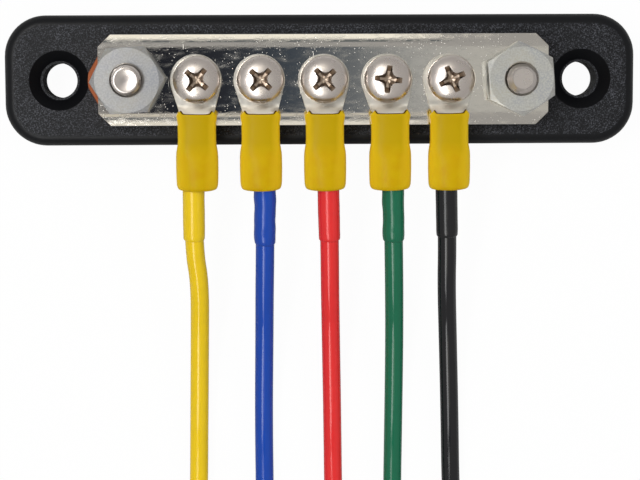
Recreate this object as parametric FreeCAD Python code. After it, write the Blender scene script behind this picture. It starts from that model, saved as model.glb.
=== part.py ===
import FreeCAD, Part
import math
import os

# A distribution bus bar for a boat or a van: a moulded base, a plated bar with
# five terminal screws and a stud at each end, and five short leads on the screws.
# Millimetres. Origin at the middle of the base's mounting face, +Z up off the
# panel, +X along the bar, and the leads run towards -Y.

V = FreeCAD.Vector

# Base moulding
BASE_LENGTH = 128.3
BASE_WIDTH = 26.4
BASE_HEIGHT = 9.0
BASE_CORNER_R = 8.4
BASE_EDGE_R = 2.4
BASE_WALL = 2.4
BASE_TOP_PLATE = 3.2
RIB_THICKNESS = 1.6
MOUNT_HOLE_FROM_END = 11.15
MOUNT_HOLE_D = 7.0
COUNTERSINK_D = 12.1
COUNTERSINK_FLOOR_D = 7.9
MOUNT_BOSS_WALL = 2.8
POCKET_WALL = 2.2
WELL_D = 7.0
WELL_WALL = 1.4
WELL_FLOOR = 1.6

# Bar
BAR_WIDTH = 18.3
BAR_THICKNESS = 3.0
BAR_CHAMFER = 2.5
BAR_FLAT_WIDTH = 10.6
BAR_EDGE_DROP = 0.5
BAR_OFFSET = 0.5

# Studs, their seat plates and nuts
STUD_FROM_SCREW = 13.75
STUD_FROM_BAR_END = 6.15
STUD_D = 6.0
STUD_END_CHAMFER = 1.0
STUD_STANDS_PROUD = 2.2
STUD_HEAD_FLATS = 10.0
STUD_HEAD_HEIGHT = 4.0
STUD_HEAD_SUNK = 0.6
STUD_HEAD_FACE_INSET = 0.25
STUD_SHANK_ROOT = 1.0
SEAT_FLATS = 16.0
SEAT_TURNED_D = 17.0
SEAT_CUT_INSET = 0.6
SEAT_THICKNESS = 0.9
NUT_FLATS = 13.0
NUT_HEIGHT = 5.5
NUT_FACE_INSET = 0.13
NUT_LEAD_IN = 0.35
HEX_CHAMFER_ANGLE = 30.0
NUT_TURNS = (3.2, 33.8)

# Terminal screws and their captive lock washers
SCREW_PITCH = 12.7
SCREW_D = 4.9
SCREW_LENGTH = 10.0
SCREW_HEAD_D = 9.6
SCREW_HEAD_HEIGHT = 2.9
SCREW_HEAD_FLAT_D = 5.6
SCREW_HEAD_SIDE_HEIGHT = 1.3
SCREW_HEAD_SIDE_TAPER = 0.2
SCREW_SHOULDER_INSET = 0.67
SCREW_SHOULDER_DROP = 0.38
SCREW_TIP_CHAMFER = 0.7
RECESS_SPAN = 5.0
RECESS_ARM = 1.0
RECESS_DEPTH = 2.0
RECESS_FLOOR_SPAN = 2.25
RECESS_FLOOR_ARM = 0.72
RECESS_OVERCUT = 0.2
SCREW_TURNS = (50.5, 47.3, 41.4, 84.0, 24.0)
WASHER_D = 9.2
WASHER_THICKNESS = 1.2
WASHER_SLIT = 0.8
WASHER_SLIT_SLANT = 25.0
WASHER_TURNS = (232.0, 118.0, 75.0, 305.0, 222.0)

# Ring terminals and their crimped sleeves, in the terminal's own frame: the ring's
# centre on the bar's top face is the origin, and the barrel runs towards -Y.
RING_D = 10.3
RING_HOLE_D = 5.6
TONGUE_THICKNESS = 1.0
TONGUE_BEND_Y = -5.2
TONGUE_END_Y = -8.1
TONGUE_RISE = 0.95
TONGUE_NECK_WIDTH = 6.1
BARREL_TILT = 10.0
BARREL_AXIS_Y = -5.5
BARREL_AXIS_Z = 2.85
BARREL_START = 2.4
BARREL_LENGTH = 7.4
BARREL_WIDTH = 6.1
BARREL_HEIGHT = 3.5
SLEEVE_WALL = 0.6
SLEEVE_MOUTH_R = 7.05
SLEEVE_BELL_WIDENING = 0.45
SLEEVE_BELL_LENGTH = 2.8
SLEEVE_CRIMP_WIDTH = 7.65
SLEEVE_CRIMP_HEIGHT = 5.0
SLEEVE_CRIMP_LENGTH = 7.4
SLEEVE_FLARE_LENGTH = 2.0
SLEEVE_TAIL_WIDTH = 8.5
SLEEVE_TAIL_HEIGHT = 6.4
SLEEVE_LENGTH = 16.65
SLEEVE_LIP = 0.7

# Leads
WIRE_D = 3.8
COLLAR_D = 4.5
COLLAR_SOCKET = 4.0
LEAD_OUT = 2.6
BEND_SHARE = 0.45
STRANDS_D = 2.3
STRANDS_LENGTH = 8.0
COLOURS = ("yellow", "blue", "red", "green", "black")
# How each terminal was left when its screw was tightened: the ring's turn and its shift
# off the screw, within the play of its hole, and then the barrel's shift off the ring
# and the lead's shift off the barrel.
TERMINAL_TURNS = (-0.3, 0.2, 0.5, 0.7, 1.0)
RING_SHIFTS = (-0.3, -0.3, -0.05, -0.05, -0.25)
BARREL_SHIFTS = (0.25, 0.2, 0.05, 0.4, -0.3)
LEAD_SHIFTS = (-0.82, 0.79, 0.53, 0.49, -0.62)
COLLAR_ENDS = (
    V(-25.92, -32.3, 11.1),
    V(-11.55, -33.2, 10.9),
    V(1.57, -32.5, 11.0),
    V(14.64, -32.7, 11.0),
    V(25.54, -31.8, 11.2),
)
# Where each wire bends after its collar, chosen by hand: down to the surface that
# the base stands on, and then along it.
WIRE_POINTS = (
    (
        V(-24.95, -41.4, 8.7),
        V(-25.25, -54.0, 4.4),
        V(-25.6, -70.0, 1.9),
        V(-25.9, -90.0, 1.9),
        V(-27.0, -110.5, 1.9),
        V(-29.4, -129.5, 1.9),
    ),
    (
        V(-11.73, -43.3, 8.4),
        V(-11.86, -55.0, 4.3),
        V(-12.1, -71.0, 1.9),
        V(-11.95, -91.0, 1.9),
        V(-12.85, -112.0, 1.9),
        V(-12.55, -131.5, 1.9),
    ),
    (
        V(1.71, -42.6, 8.5),
        V(2.0, -54.3, 4.3),
        V(2.3, -70.2, 1.9),
        V(2.45, -89.5, 1.9),
        V(3.35, -108.8, 1.9),
        V(3.25, -127.5, 1.9),
    ),
    (
        V(14.92, -42.8, 8.5),
        V(15.22, -54.5, 4.3),
        V(15.16, -70.6, 1.9),
        V(14.81, -91.0, 1.9),
        V(15.71, -111.5, 1.9),
        V(18.01, -130.5, 1.9),
    ),
    (
        V(25.68, -41.9, 8.7),
        V(26.38, -53.6, 4.4),
        V(27.02, -69.8, 1.9),
        V(27.32, -89.4, 1.9),
        V(29.12, -109.0, 1.9),
        V(31.82, -127.8, 1.9),
    ),
)

# Clearances
RUNNING_FIT = 0.05
THREAD_FIT = 0.05
STUD_HOLE_PLAY = 0.2
POCKET_PLAY = 0.15
SLEEVE_PLAY = 0.12
COLLAR_PLAY = 0.1
COLLAR_GAP = 0.3

# Heights that follow from the stack
SEAT_Z = BASE_HEIGHT
BAR_Z = SEAT_Z + SEAT_THICKNESS
BAR_TOP_Z = BAR_Z + BAR_THICKNESS
WASHER_Z = BAR_TOP_Z + TONGUE_THICKNESS
HEAD_Z = WASHER_Z + WASHER_THICKNESS
STUD_TOP_Z = BAR_TOP_Z + NUT_HEIGHT + STUD_STANDS_PROUD
POCKET_DEPTH = STUD_HEAD_SUNK + STUD_HEAD_HEIGHT

SCREW_XS = [BAR_OFFSET + (i - (len(COLOURS) - 1) / 2) * SCREW_PITCH for i in range(len(COLOURS))]
STUD_REACH = (len(COLOURS) - 1) / 2 * SCREW_PITCH + STUD_FROM_SCREW
BAR_LENGTH = 2 * (STUD_REACH + STUD_FROM_BAR_END)
STUD_XS = [BAR_OFFSET - STUD_REACH, BAR_OFFSET + STUD_REACH]
MOUNT_REACH = BASE_LENGTH / 2 - MOUNT_HOLE_FROM_END
MOUNT_XS = [-MOUNT_REACH, MOUNT_REACH]
SIDES = ("left", "right")


def fused(shapes):
    return shapes[0].multiFuse(shapes[1:]).removeSplitter()


def cut_all(body, tools):
    for tool in tools:
        body = body.cut(tool)
    return body.removeSplitter()


def box_between(x0, x1, y0, y1, z0, z1):
    return Part.makeBox(x1 - x0, y1 - y0, z1 - z0, V(x0, y0, z0))


def cylinder(diameter, z0, z1, x=0.0, y=0.0):
    return Part.makeCylinder(diameter / 2, z1 - z0, V(x, y, z0))


def turned(points):
    """A solid turned about Z from (radius, height) points that start and end on the axis."""
    loop = [V(r, 0, z) for r, z in points]
    face = Part.Face(Part.makePolygon(loop + [loop[0]]))
    return face.revolve(V(0, 0, 0), V(0, 0, 1), 360)


def hexagon(flats, z0, z1, turn=0.0):
    """A prism whose corners lie at turn, turn + 60 and so on, in degrees."""
    reach = flats / 2 / math.cos(math.radians(30))
    corners = []
    for i in range(7):
        angle = math.radians(turn + 60 * i)
        corners.append(V(reach * math.cos(angle), reach * math.sin(angle), z0))
    return Part.Face(Part.makePolygon(corners)).extrude(V(0, 0, z1 - z0))


def rounded_slab(length, width, corner_r, z0, z1):
    hx = length / 2
    hy = width / 2
    r = corner_r
    k = r * (1 - math.sqrt(0.5))
    edges = [
        Part.LineSegment(V(-hx + r, -hy, z0), V(hx - r, -hy, z0)),
        Part.Arc(V(hx - r, -hy, z0), V(hx - k, -hy + k, z0), V(hx, -hy + r, z0)),
        Part.LineSegment(V(hx, -hy + r, z0), V(hx, hy - r, z0)),
        Part.Arc(V(hx, hy - r, z0), V(hx - k, hy - k, z0), V(hx - r, hy, z0)),
        Part.LineSegment(V(hx - r, hy, z0), V(-hx + r, hy, z0)),
        Part.Arc(V(-hx + r, hy, z0), V(-hx + k, hy - k, z0), V(-hx, hy - r, z0)),
        Part.LineSegment(V(-hx, hy - r, z0), V(-hx, -hy + r, z0)),
        Part.Arc(V(-hx, -hy + r, z0), V(-hx + k, -hy + k, z0), V(-hx + r, -hy, z0)),
    ]
    outline = Part.Wire([edge.toShape() for edge in edges])
    return Part.Face(outline).extrude(V(0, 0, z1 - z0))


def base_shell():
    """The outer block with its rounded top edge, hollowed from below."""
    block = rounded_slab(BASE_LENGTH, BASE_WIDTH, BASE_CORNER_R, 0, BASE_HEIGHT)
    top_edges = [e for e in block.Edges if abs(e.BoundBox.ZMin - BASE_HEIGHT) < 0.001]
    block = block.makeFillet(BASE_EDGE_R, top_edges)
    hollow = rounded_slab(
        BASE_LENGTH - 2 * BASE_WALL,
        BASE_WIDTH - 2 * BASE_WALL,
        BASE_CORNER_R - BASE_WALL,
        0,
        BASE_HEIGHT - BASE_TOP_PLATE,
    )
    return block.cut(hollow)


def base_ribs():
    """A rib along the middle and a cross rib at each boss, down to the panel."""
    plate_z = BASE_HEIGHT - BASE_TOP_PLATE
    half_rib = RIB_THICKNESS / 2
    reach_x = BASE_LENGTH / 2 - BASE_WALL / 2
    reach_y = BASE_WIDTH / 2 - BASE_WALL / 2
    ribs = [box_between(-reach_x, reach_x, -half_rib, half_rib, 0, plate_z)]
    for x in MOUNT_XS + STUD_XS + SCREW_XS:
        ribs.append(box_between(x - half_rib, x + half_rib, -reach_y, reach_y, 0, plate_z))
    return ribs


def base_body():
    plate_z = BASE_HEIGHT - BASE_TOP_PLATE
    boss_d = MOUNT_HOLE_D + 2 * MOUNT_BOSS_WALL
    pocket_flats = STUD_HEAD_FLATS + 2 * POCKET_PLAY
    pocket_boss_d = pocket_flats / math.cos(math.radians(30)) + 2 * POCKET_WALL
    well_boss_d = WELL_D + 2 * WELL_WALL
    solids = [base_shell()] + base_ribs()
    solids += [cylinder(boss_d, 0, plate_z, x) for x in MOUNT_XS]
    solids += [cylinder(pocket_boss_d, 0, plate_z, x) for x in STUD_XS]
    solids += [cylinder(well_boss_d, 0, plate_z, x) for x in SCREW_XS]
    tools = []
    for x in MOUNT_XS:
        tools.append(cylinder(MOUNT_HOLE_D, 0, BASE_HEIGHT, x))
        depth = (COUNTERSINK_D - COUNTERSINK_FLOOR_D) / 2
        cone = Part.makeCone(COUNTERSINK_FLOOR_D / 2, COUNTERSINK_D / 2, depth)
        cone.translate(V(x, 0, BASE_HEIGHT - depth))
        tools.append(cone)
    for x in STUD_XS:
        pocket = hexagon(pocket_flats, 0, POCKET_DEPTH)
        pocket.translate(V(x, 0, 0))
        tools.append(pocket)
        tools.append(cylinder(STUD_D + 2 * STUD_HOLE_PLAY, POCKET_DEPTH, BASE_HEIGHT, x))
    for x in SCREW_XS:
        tools.append(cylinder(WELL_D, WELL_FLOOR, BASE_HEIGHT, x))
    return cut_all(fused(solids), tools)


def bar_section():
    """The rolled bar's section across its width: flat in the middle, eased to thinner edges."""
    flat = BAR_FLAT_WIDTH / 2
    edge = BAR_WIDTH / 2
    top = BAR_THICKNESS
    drop = BAR_EDGE_DROP
    run = edge - flat
    ease_r = (run * run + drop * drop) / (2 * drop)
    mid = run / 2
    mid_drop = ease_r - math.sqrt(ease_r * ease_r - mid * mid)
    edges = [
        Part.LineSegment(V(0, -flat, top), V(0, flat, top)),
        Part.Arc(V(0, flat, top), V(0, flat + mid, top - mid_drop), V(0, edge, top - drop)),
        Part.LineSegment(V(0, edge, top - drop), V(0, edge, drop)),
        Part.Arc(V(0, edge, drop), V(0, flat + mid, mid_drop), V(0, flat, 0)),
        Part.LineSegment(V(0, flat, 0), V(0, -flat, 0)),
        Part.Arc(V(0, -flat, 0), V(0, -flat - mid, mid_drop), V(0, -edge, drop)),
        Part.LineSegment(V(0, -edge, drop), V(0, -edge, top - drop)),
        Part.Arc(V(0, -edge, top - drop), V(0, -flat - mid, top - mid_drop), V(0, -flat, top)),
    ]
    return Part.Face(Part.Wire([edge_curve.toShape() for edge_curve in edges]))


def bar_body():
    bar = bar_section().extrude(V(BAR_LENGTH, 0, 0))
    bar.translate(V(BAR_OFFSET - BAR_LENGTH / 2, 0, BAR_Z))
    hx = BAR_LENGTH / 2
    hy = BAR_WIDTH / 2
    c = BAR_CHAMFER
    plan = [
        V(-hx + c, -hy, 0),
        V(hx - c, -hy, 0),
        V(hx, -hy + c, 0),
        V(hx, hy - c, 0),
        V(hx - c, hy, 0),
        V(-hx + c, hy, 0),
        V(-hx, hy - c, 0),
        V(-hx, -hy + c, 0),
    ]
    outline = Part.Face(Part.makePolygon(plan + [plan[0]])).extrude(V(0, 0, BAR_THICKNESS))
    outline.translate(V(BAR_OFFSET, 0, BAR_Z))
    bar = bar.common(outline)
    tools = [cylinder(STUD_D + 2 * STUD_HOLE_PLAY, BAR_Z, BAR_TOP_Z, x) for x in STUD_XS]
    tools += [cylinder(SCREW_D + 2 * THREAD_FIT, BAR_Z, BAR_TOP_Z, x) for x in SCREW_XS]
    return cut_all(bar, tools)


def seat_plate(side, x):
    """A flat hexagon under the bar. The right one is cut off just inside the bar's end."""
    plate = hexagon(SEAT_FLATS, 0, SEAT_THICKNESS).common(cylinder(SEAT_TURNED_D, 0, SEAT_THICKNESS))
    plate = plate.cut(cylinder(STUD_D + 2 * STUD_HOLE_PLAY, 0, SEAT_THICKNESS))
    if side == "right":
        reach = STUD_FROM_BAR_END - SEAT_CUT_INSET
        plate = plate.cut(box_between(reach, SEAT_TURNED_D, -SEAT_FLATS, SEAT_FLATS, 0, SEAT_THICKNESS))
    plate.translate(V(x, 0, SEAT_Z))
    return plate


def stud(x):
    """A hex-headed bolt let into the base from below, with its threaded end up."""
    head = hexagon(STUD_HEAD_FLATS, STUD_HEAD_SUNK, POCKET_DEPTH)
    corner_r = STUD_HEAD_FLATS / 2 / math.cos(math.radians(30))
    flat_r = STUD_HEAD_FLATS / 2 - STUD_HEAD_FACE_INSET
    rise = (corner_r - flat_r) * math.tan(math.radians(HEX_CHAMFER_ANGLE))
    trim = turned([
        (0, STUD_HEAD_SUNK),
        (flat_r, STUD_HEAD_SUNK),
        (corner_r, STUD_HEAD_SUNK + rise),
        (corner_r, POCKET_DEPTH),
        (0, POCKET_DEPTH),
    ])
    shank = turned([
        (0, POCKET_DEPTH - STUD_SHANK_ROOT),
        (STUD_D / 2, POCKET_DEPTH - STUD_SHANK_ROOT),
        (STUD_D / 2, STUD_TOP_Z - STUD_END_CHAMFER),
        (STUD_D / 2 - STUD_END_CHAMFER, STUD_TOP_Z),
        (0, STUD_TOP_Z),
    ])
    bolt = fused([head.common(trim), shank])
    bolt.translate(V(x, 0, 0))
    return bolt


def nut(x, turn):
    corner_r = NUT_FLATS / 2 / math.cos(math.radians(30))
    flat_r = NUT_FLATS / 2 - NUT_FACE_INSET
    rise = (corner_r - flat_r) * math.tan(math.radians(HEX_CHAMFER_ANGLE))
    trim = turned([
        (0, 0),
        (flat_r, 0),
        (corner_r, rise),
        (corner_r, NUT_HEIGHT - rise),
        (flat_r, NUT_HEIGHT),
        (0, NUT_HEIGHT),
    ])
    body = hexagon(NUT_FLATS, 0, NUT_HEIGHT, turn).common(trim)
    bore_d = STUD_D + 2 * RUNNING_FIT
    bore = turned([
        (0, 0),
        (bore_d / 2 + NUT_LEAD_IN, 0),
        (bore_d / 2, NUT_LEAD_IN),
        (bore_d / 2, NUT_HEIGHT - NUT_LEAD_IN),
        (bore_d / 2 + NUT_LEAD_IN, NUT_HEIGHT),
        (0, NUT_HEIGHT),
    ])
    body = body.cut(bore)
    body.translate(V(x, 0, BAR_TOP_Z))
    return body


def recess_arm(top_z):
    """One arm of the cross recess, wide at the top and narrow at its floor."""
    rings = []
    for span, arm, z in (
        (RECESS_SPAN, RECESS_ARM, top_z + RECESS_OVERCUT),
        (RECESS_FLOOR_SPAN, RECESS_FLOOR_ARM, top_z - RECESS_DEPTH),
    ):
        corners = [
            V(-span / 2, -arm / 2, z),
            V(span / 2, -arm / 2, z),
            V(span / 2, arm / 2, z),
            V(-span / 2, arm / 2, z),
        ]
        rings.append(Part.makePolygon(corners + [corners[0]]))
    return Part.makeLoft(rings, True, True)


def screw_profile():
    """Half of the pan-head screw, with its bulged side and slightly domed top."""
    head_r = SCREW_HEAD_D / 2
    top_z = HEAD_Z + SCREW_HEAD_HEIGHT
    tip_z = HEAD_Z - SCREW_LENGTH
    shank_r = SCREW_D / 2
    tip_centre = V(0, 0, tip_z)
    tip_edge = V(shank_r - SCREW_TIP_CHAMFER, 0, tip_z)
    shank_low = V(shank_r, 0, tip_z + SCREW_TIP_CHAMFER)
    shank_high = V(shank_r, 0, HEAD_Z)
    seat_edge = V(head_r - SCREW_HEAD_SIDE_TAPER, 0, HEAD_Z)
    side = V(head_r, 0, HEAD_Z + SCREW_HEAD_SIDE_HEIGHT)
    shoulder = V(head_r - SCREW_SHOULDER_INSET, 0, top_z - SCREW_SHOULDER_DROP)
    flat_edge = V(SCREW_HEAD_FLAT_D / 2, 0, top_z)
    top_centre = V(0, 0, top_z)
    edges = [
        Part.LineSegment(tip_centre, tip_edge),
        Part.LineSegment(tip_edge, shank_low),
        Part.LineSegment(shank_low, shank_high),
        Part.LineSegment(shank_high, seat_edge),
        Part.LineSegment(seat_edge, side),
        Part.Arc(side, shoulder, flat_edge),
        Part.LineSegment(flat_edge, top_centre),
        Part.LineSegment(top_centre, tip_centre),
    ]
    return Part.Face(Part.Wire([edge.toShape() for edge in edges]))


def terminal_screw(x, turn):
    screw = screw_profile().revolve(V(0, 0, 0), V(0, 0, 1), 360)
    top_z = HEAD_Z + SCREW_HEAD_HEIGHT
    first_arm = recess_arm(top_z)
    second_arm = first_arm.copy()
    second_arm.rotate(V(0, 0, 0), V(0, 0, 1), 90)
    screw = cut_all(screw, [first_arm, second_arm])
    screw.rotate(V(0, 0, 0), V(0, 0, 1), turn)
    screw.translate(V(x, 0, 0))
    return screw


def lock_washer(x, turn):
    """A spring washer: a flat ring with one slanted slit."""
    ring = cylinder(WASHER_D, 0, WASHER_THICKNESS)
    ring = ring.cut(cylinder(SCREW_D + 2 * RUNNING_FIT, 0, WASHER_THICKNESS))
    reach = WASHER_D
    slit = box_between(0, reach, -WASHER_SLIT / 2, WASHER_SLIT / 2, -reach, reach)
    slit.rotate(V(0, 0, WASHER_THICKNESS / 2), V(1, 0, 0), WASHER_SLIT_SLANT)
    ring = ring.cut(slit)
    ring.rotate(V(0, 0, 0), V(0, 0, 1), turn)
    ring.translate(V(x, 0, WASHER_Z))
    return ring


def tongue_plan(shift):
    """The ring and its neck seen from above: tangents run from the ring to the neck."""
    ring_r = RING_D / 2
    corners = []
    touches = []
    for side in (1, -1):
        reach_x = TONGUE_NECK_WIDTH / 2 + side * shift
        reach = math.hypot(reach_x, TONGUE_END_Y)
        angle = math.atan2(TONGUE_END_Y, reach_x) + math.acos(ring_r / reach)
        corners.append(V(side * reach_x, TONGUE_END_Y, 0))
        touches.append(V(side * ring_r * math.cos(angle), ring_r * math.sin(angle), 0))
    edges = [
        Part.Arc(touches[0], V(0, ring_r, 0), touches[1]),
        Part.LineSegment(touches[1], corners[1]),
        Part.LineSegment(corners[1], corners[0]),
        Part.LineSegment(corners[0], touches[0]),
    ]
    return Part.Face(Part.Wire([edge.toShape() for edge in edges]))


def tongue_strip():
    """The tongue seen from the side: flat under the screw, then bent up to the barrel."""
    t = TONGUE_THICKNESS
    rise = TONGUE_RISE
    front = RING_D
    profile = [
        V(-RING_D, front, 0),
        V(-RING_D, TONGUE_BEND_Y, 0),
        V(-RING_D, TONGUE_END_Y, rise),
        V(-RING_D, TONGUE_END_Y, rise + t),
        V(-RING_D, TONGUE_BEND_Y, t),
        V(-RING_D, front, t),
    ]
    return Part.Face(Part.makePolygon(profile + [profile[0]])).extrude(V(2 * RING_D, 0, 0))


def along_barrel(shape, shift):
    """Lays a shape built along +Z, width along X, on the barrel's tilted axis."""
    laid = shape.copy()
    laid.rotate(V(0, 0, 0), V(1, 0, 0), 90 + BARREL_TILT)
    laid.translate(V(shift, BARREL_AXIS_Y, BARREL_AXIS_Z))
    return laid


def oval(width, height, along):
    ellipse = Part.Ellipse(V(0, 0, along), width / 2, height / 2)
    return Part.Wire([ellipse.toShape()])


def ring_terminal_body(shift):
    tongue = tongue_plan(shift).extrude(V(0, 0, 3 * TONGUE_THICKNESS)).common(tongue_strip())
    tongue = tongue.cut(cylinder(RING_HOLE_D, -1, 3 * TONGUE_THICKNESS))
    section = Part.Face(oval(BARREL_WIDTH, BARREL_HEIGHT, BARREL_START))
    barrel = along_barrel(section.extrude(V(0, 0, BARREL_LENGTH)), shift)
    return fused([tongue, barrel])


def sleeve_stations():
    """Width and height of the sleeve along the barrel's axis."""
    flare_end = SLEEVE_CRIMP_LENGTH + SLEEVE_FLARE_LENGTH
    return (
        (0.0, SLEEVE_CRIMP_WIDTH + SLEEVE_BELL_WIDENING, SLEEVE_CRIMP_HEIGHT + SLEEVE_BELL_WIDENING),
        (SLEEVE_BELL_LENGTH, SLEEVE_CRIMP_WIDTH, SLEEVE_CRIMP_HEIGHT),
        (SLEEVE_CRIMP_LENGTH, SLEEVE_CRIMP_WIDTH, SLEEVE_CRIMP_HEIGHT),
        (flare_end, SLEEVE_TAIL_WIDTH, SLEEVE_TAIL_HEIGHT),
        (SLEEVE_LENGTH - SLEEVE_LIP, SLEEVE_TAIL_WIDTH, SLEEVE_TAIL_HEIGHT),
        (SLEEVE_LENGTH, SLEEVE_TAIL_WIDTH - SLEEVE_LIP, SLEEVE_TAIL_HEIGHT - SLEEVE_LIP),
    )


def neck_notch(shift):
    """The room that the terminal's neck takes in the lower half of the sleeve's mouth."""
    end_x = TONGUE_NECK_WIDTH / 2 + SLEEVE_PLAY
    end_y = TONGUE_END_Y - SLEEVE_PLAY
    front_x = RING_D / 2 + SLEEVE_PLAY
    corners = [V(shift + end_x, end_y, 0), V(front_x, 0, 0), V(-front_x, 0, 0), V(shift - end_x, end_y, 0)]
    room = Part.Face(Part.makePolygon(corners + [corners[0]])).extrude(V(0, 0, 2 * RING_D))
    room.translate(V(0, 0, TONGUE_RISE + TONGUE_THICKNESS + SLEEVE_PLAY - 2 * RING_D))
    return room


def sleeve_body(shift):
    """The vinyl sleeve: squeezed over the barrel, open behind it, with a scooped mouth."""
    outer = []
    inner = []
    for along, width, height in sleeve_stations():
        outer.append(oval(width, height, along))
    for along, width, height in sleeve_stations()[:-1]:
        inner.append(oval(width - 2 * SLEEVE_WALL, height - 2 * SLEEVE_WALL, along))
    tail = sleeve_stations()[-2]
    inner.append(oval(tail[1] - 2 * SLEEVE_WALL, tail[2] - 2 * SLEEVE_WALL, SLEEVE_LENGTH))
    shell = Part.makeLoft(outer, True, True).cut(Part.makeLoft(inner, True, True))
    shell = along_barrel(shell, shift)
    return shell.cut(cylinder(2 * SLEEVE_MOUTH_R, -RING_D, 2 * RING_D)).cut(neck_notch(shift))


def on_screw(shape, i):
    """Places a terminal's piece on screw i, turned as that lead lies."""
    placed = shape.copy()
    placed.rotate(V(0, 0, 0), V(0, 0, 1), TERMINAL_TURNS[i])
    placed.translate(V(SCREW_XS[i] + RING_SHIFTS[i], 0, BAR_TOP_Z))
    return placed


def lead_start(i):
    """Where lead i's collar starts, just behind the barrel."""
    tilt = math.radians(BARREL_TILT)
    along = BARREL_START + BARREL_LENGTH + COLLAR_GAP
    start = V(
        BARREL_SHIFTS[i],
        BARREL_AXIS_Y - along * math.cos(tilt),
        BARREL_AXIS_Z - along * math.sin(tilt),
    )
    turn = FreeCAD.Rotation(V(0, 0, 1), TERMINAL_TURNS[i])
    return turn.multVec(start) + V(SCREW_XS[i] + RING_SHIFTS[i] + LEAD_SHIFTS[i], 0, BAR_TOP_Z)


def collar(i):
    """Shrunk tube over the wire, with a socket at its end that the wire comes out of."""
    start = lead_start(i)
    run = COLLAR_ENDS[i] - start
    rod = Part.makeCylinder(COLLAR_D / 2, run.Length, start, run)
    way = V(run).normalize()
    socket_start = COLLAR_ENDS[i] - way * COLLAR_SOCKET
    socket = Part.makeCylinder(WIRE_D / 2 + COLLAR_PLAY, COLLAR_SOCKET, socket_start, way)
    return rod.cut(socket)


def wire_route(i):
    """The wire's route: out of the socket along the collar, and then the chosen points."""
    way = (COLLAR_ENDS[i] - lead_start(i)).normalize()
    start = COLLAR_ENDS[i] - way * COLLAR_SOCKET
    first_bend = COLLAR_ENDS[i] + way * LEAD_OUT
    return [start, first_bend] + list(WIRE_POINTS[i])


def rounded_path(points):
    """Straight runs joined by arcs that are tangent to both, and each arc's radius."""
    edges = []
    radii = []
    here = points[0]
    for before, corner, after in zip(points, points[1:], points[2:]):
        way_in = (corner - before).normalize()
        way_out = (after - corner).normalize()
        half_turn = way_in.getAngle(way_out) / 2
        shorter = min((corner - before).Length, (after - corner).Length)
        setback = BEND_SHARE * shorter
        radius = setback / math.tan(half_turn)
        radii.append(radius)
        arc_start = corner - way_in * setback
        arc_end = corner + way_out * setback
        inward = (way_out - way_in).normalize()
        middle = corner + inward * (radius / math.cos(half_turn) - radius)
        edges.append(Part.LineSegment(here, arc_start).toShape())
        edges.append(Part.Arc(arc_start, middle, arc_end).toShape())
        here = arc_end
    edges.append(Part.LineSegment(here, points[-1]).toShape())
    return Part.Wire(edges), radii


def wire(i):
    points = wire_route(i)
    path, radii = rounded_path(points)
    circle = Part.Circle(points[0], points[1] - points[0], WIRE_D / 2)
    tube = path.makePipeShell([Part.Wire([circle.toShape()])], True, False)
    share = tube.Volume / (math.pi * WIRE_D ** 2 / 4 * path.Length)
    print(
        "wire", COLOURS[i], "length %.1f" % path.Length,
        "radii", " ".join("%.0f" % radius for radius in radii),
        "volume over section times length %.5f" % share,
    )
    return tube


def strands(i):
    """The stripped end of the wire's copper strands."""
    end = WIRE_POINTS[i][-1]
    way = end - WIRE_POINTS[i][-2]
    return Part.makeCylinder(STRANDS_D / 2, STRANDS_LENGTH, end, way)


def all_pieces():
    pieces = {"base": base_body(), "bar": bar_body()}
    for side, x, turn in zip(SIDES, STUD_XS, NUT_TURNS):
        pieces["stud_" + side] = stud(x)
        pieces["seat_plate_" + side] = seat_plate(side, x)
        pieces["stud_nut_" + side] = nut(x, turn)
    for i, colour in enumerate(COLOURS):
        number = str(i + 1)
        pieces["terminal_screw_" + number] = terminal_screw(SCREW_XS[i], SCREW_TURNS[i])
        pieces["lock_washer_" + number] = lock_washer(SCREW_XS[i], WASHER_TURNS[i])
        pieces["ring_terminal_" + number] = on_screw(ring_terminal_body(BARREL_SHIFTS[i]), i)
        pieces["crimp_sleeve_" + number] = on_screw(sleeve_body(BARREL_SHIFTS[i]), i)
        pieces["shrink_collar_" + colour] = collar(i)
        pieces["wire_" + colour] = wire(i)
        pieces["strands_" + colour] = strands(i)
    return pieces


os.makedirs("parts", exist_ok=True)
for name, shape in all_pieces().items():
    if not shape.isValid() or len(shape.Solids) != 1:
        raise ValueError(name + " is not one valid solid")
    shape.Solids[0].exportStep(os.path.join("parts", name + ".step"))
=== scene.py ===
"""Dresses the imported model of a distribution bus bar: a moulded base, a tinned bar with five
terminal screws between two studs, and five coloured leads on insulated ring terminals."""

import math

import bmesh
import bpy
from bpy.props import FloatProperty, FloatVectorProperty, PointerProperty
from mathutils import Matrix, Vector, noise


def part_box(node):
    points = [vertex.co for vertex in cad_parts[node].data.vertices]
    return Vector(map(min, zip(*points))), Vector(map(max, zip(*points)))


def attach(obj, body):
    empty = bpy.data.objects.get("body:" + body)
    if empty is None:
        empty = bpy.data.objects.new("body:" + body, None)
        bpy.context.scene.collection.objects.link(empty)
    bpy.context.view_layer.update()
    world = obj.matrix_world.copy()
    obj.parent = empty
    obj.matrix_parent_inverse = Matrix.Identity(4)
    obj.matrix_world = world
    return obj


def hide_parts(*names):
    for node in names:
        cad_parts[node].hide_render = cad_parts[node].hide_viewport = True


bl_info = {
    "name": "Bus bar with five leads",
    "version": (1, 0, 0),
    "blender": (4, 5, 0),
    "location": "3D View > Sidebar > Bus bar",
    "description": "Makes the finished pieces, materials, stage and camera of a bus bar with five leads",
    "category": "Object",
}

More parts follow.
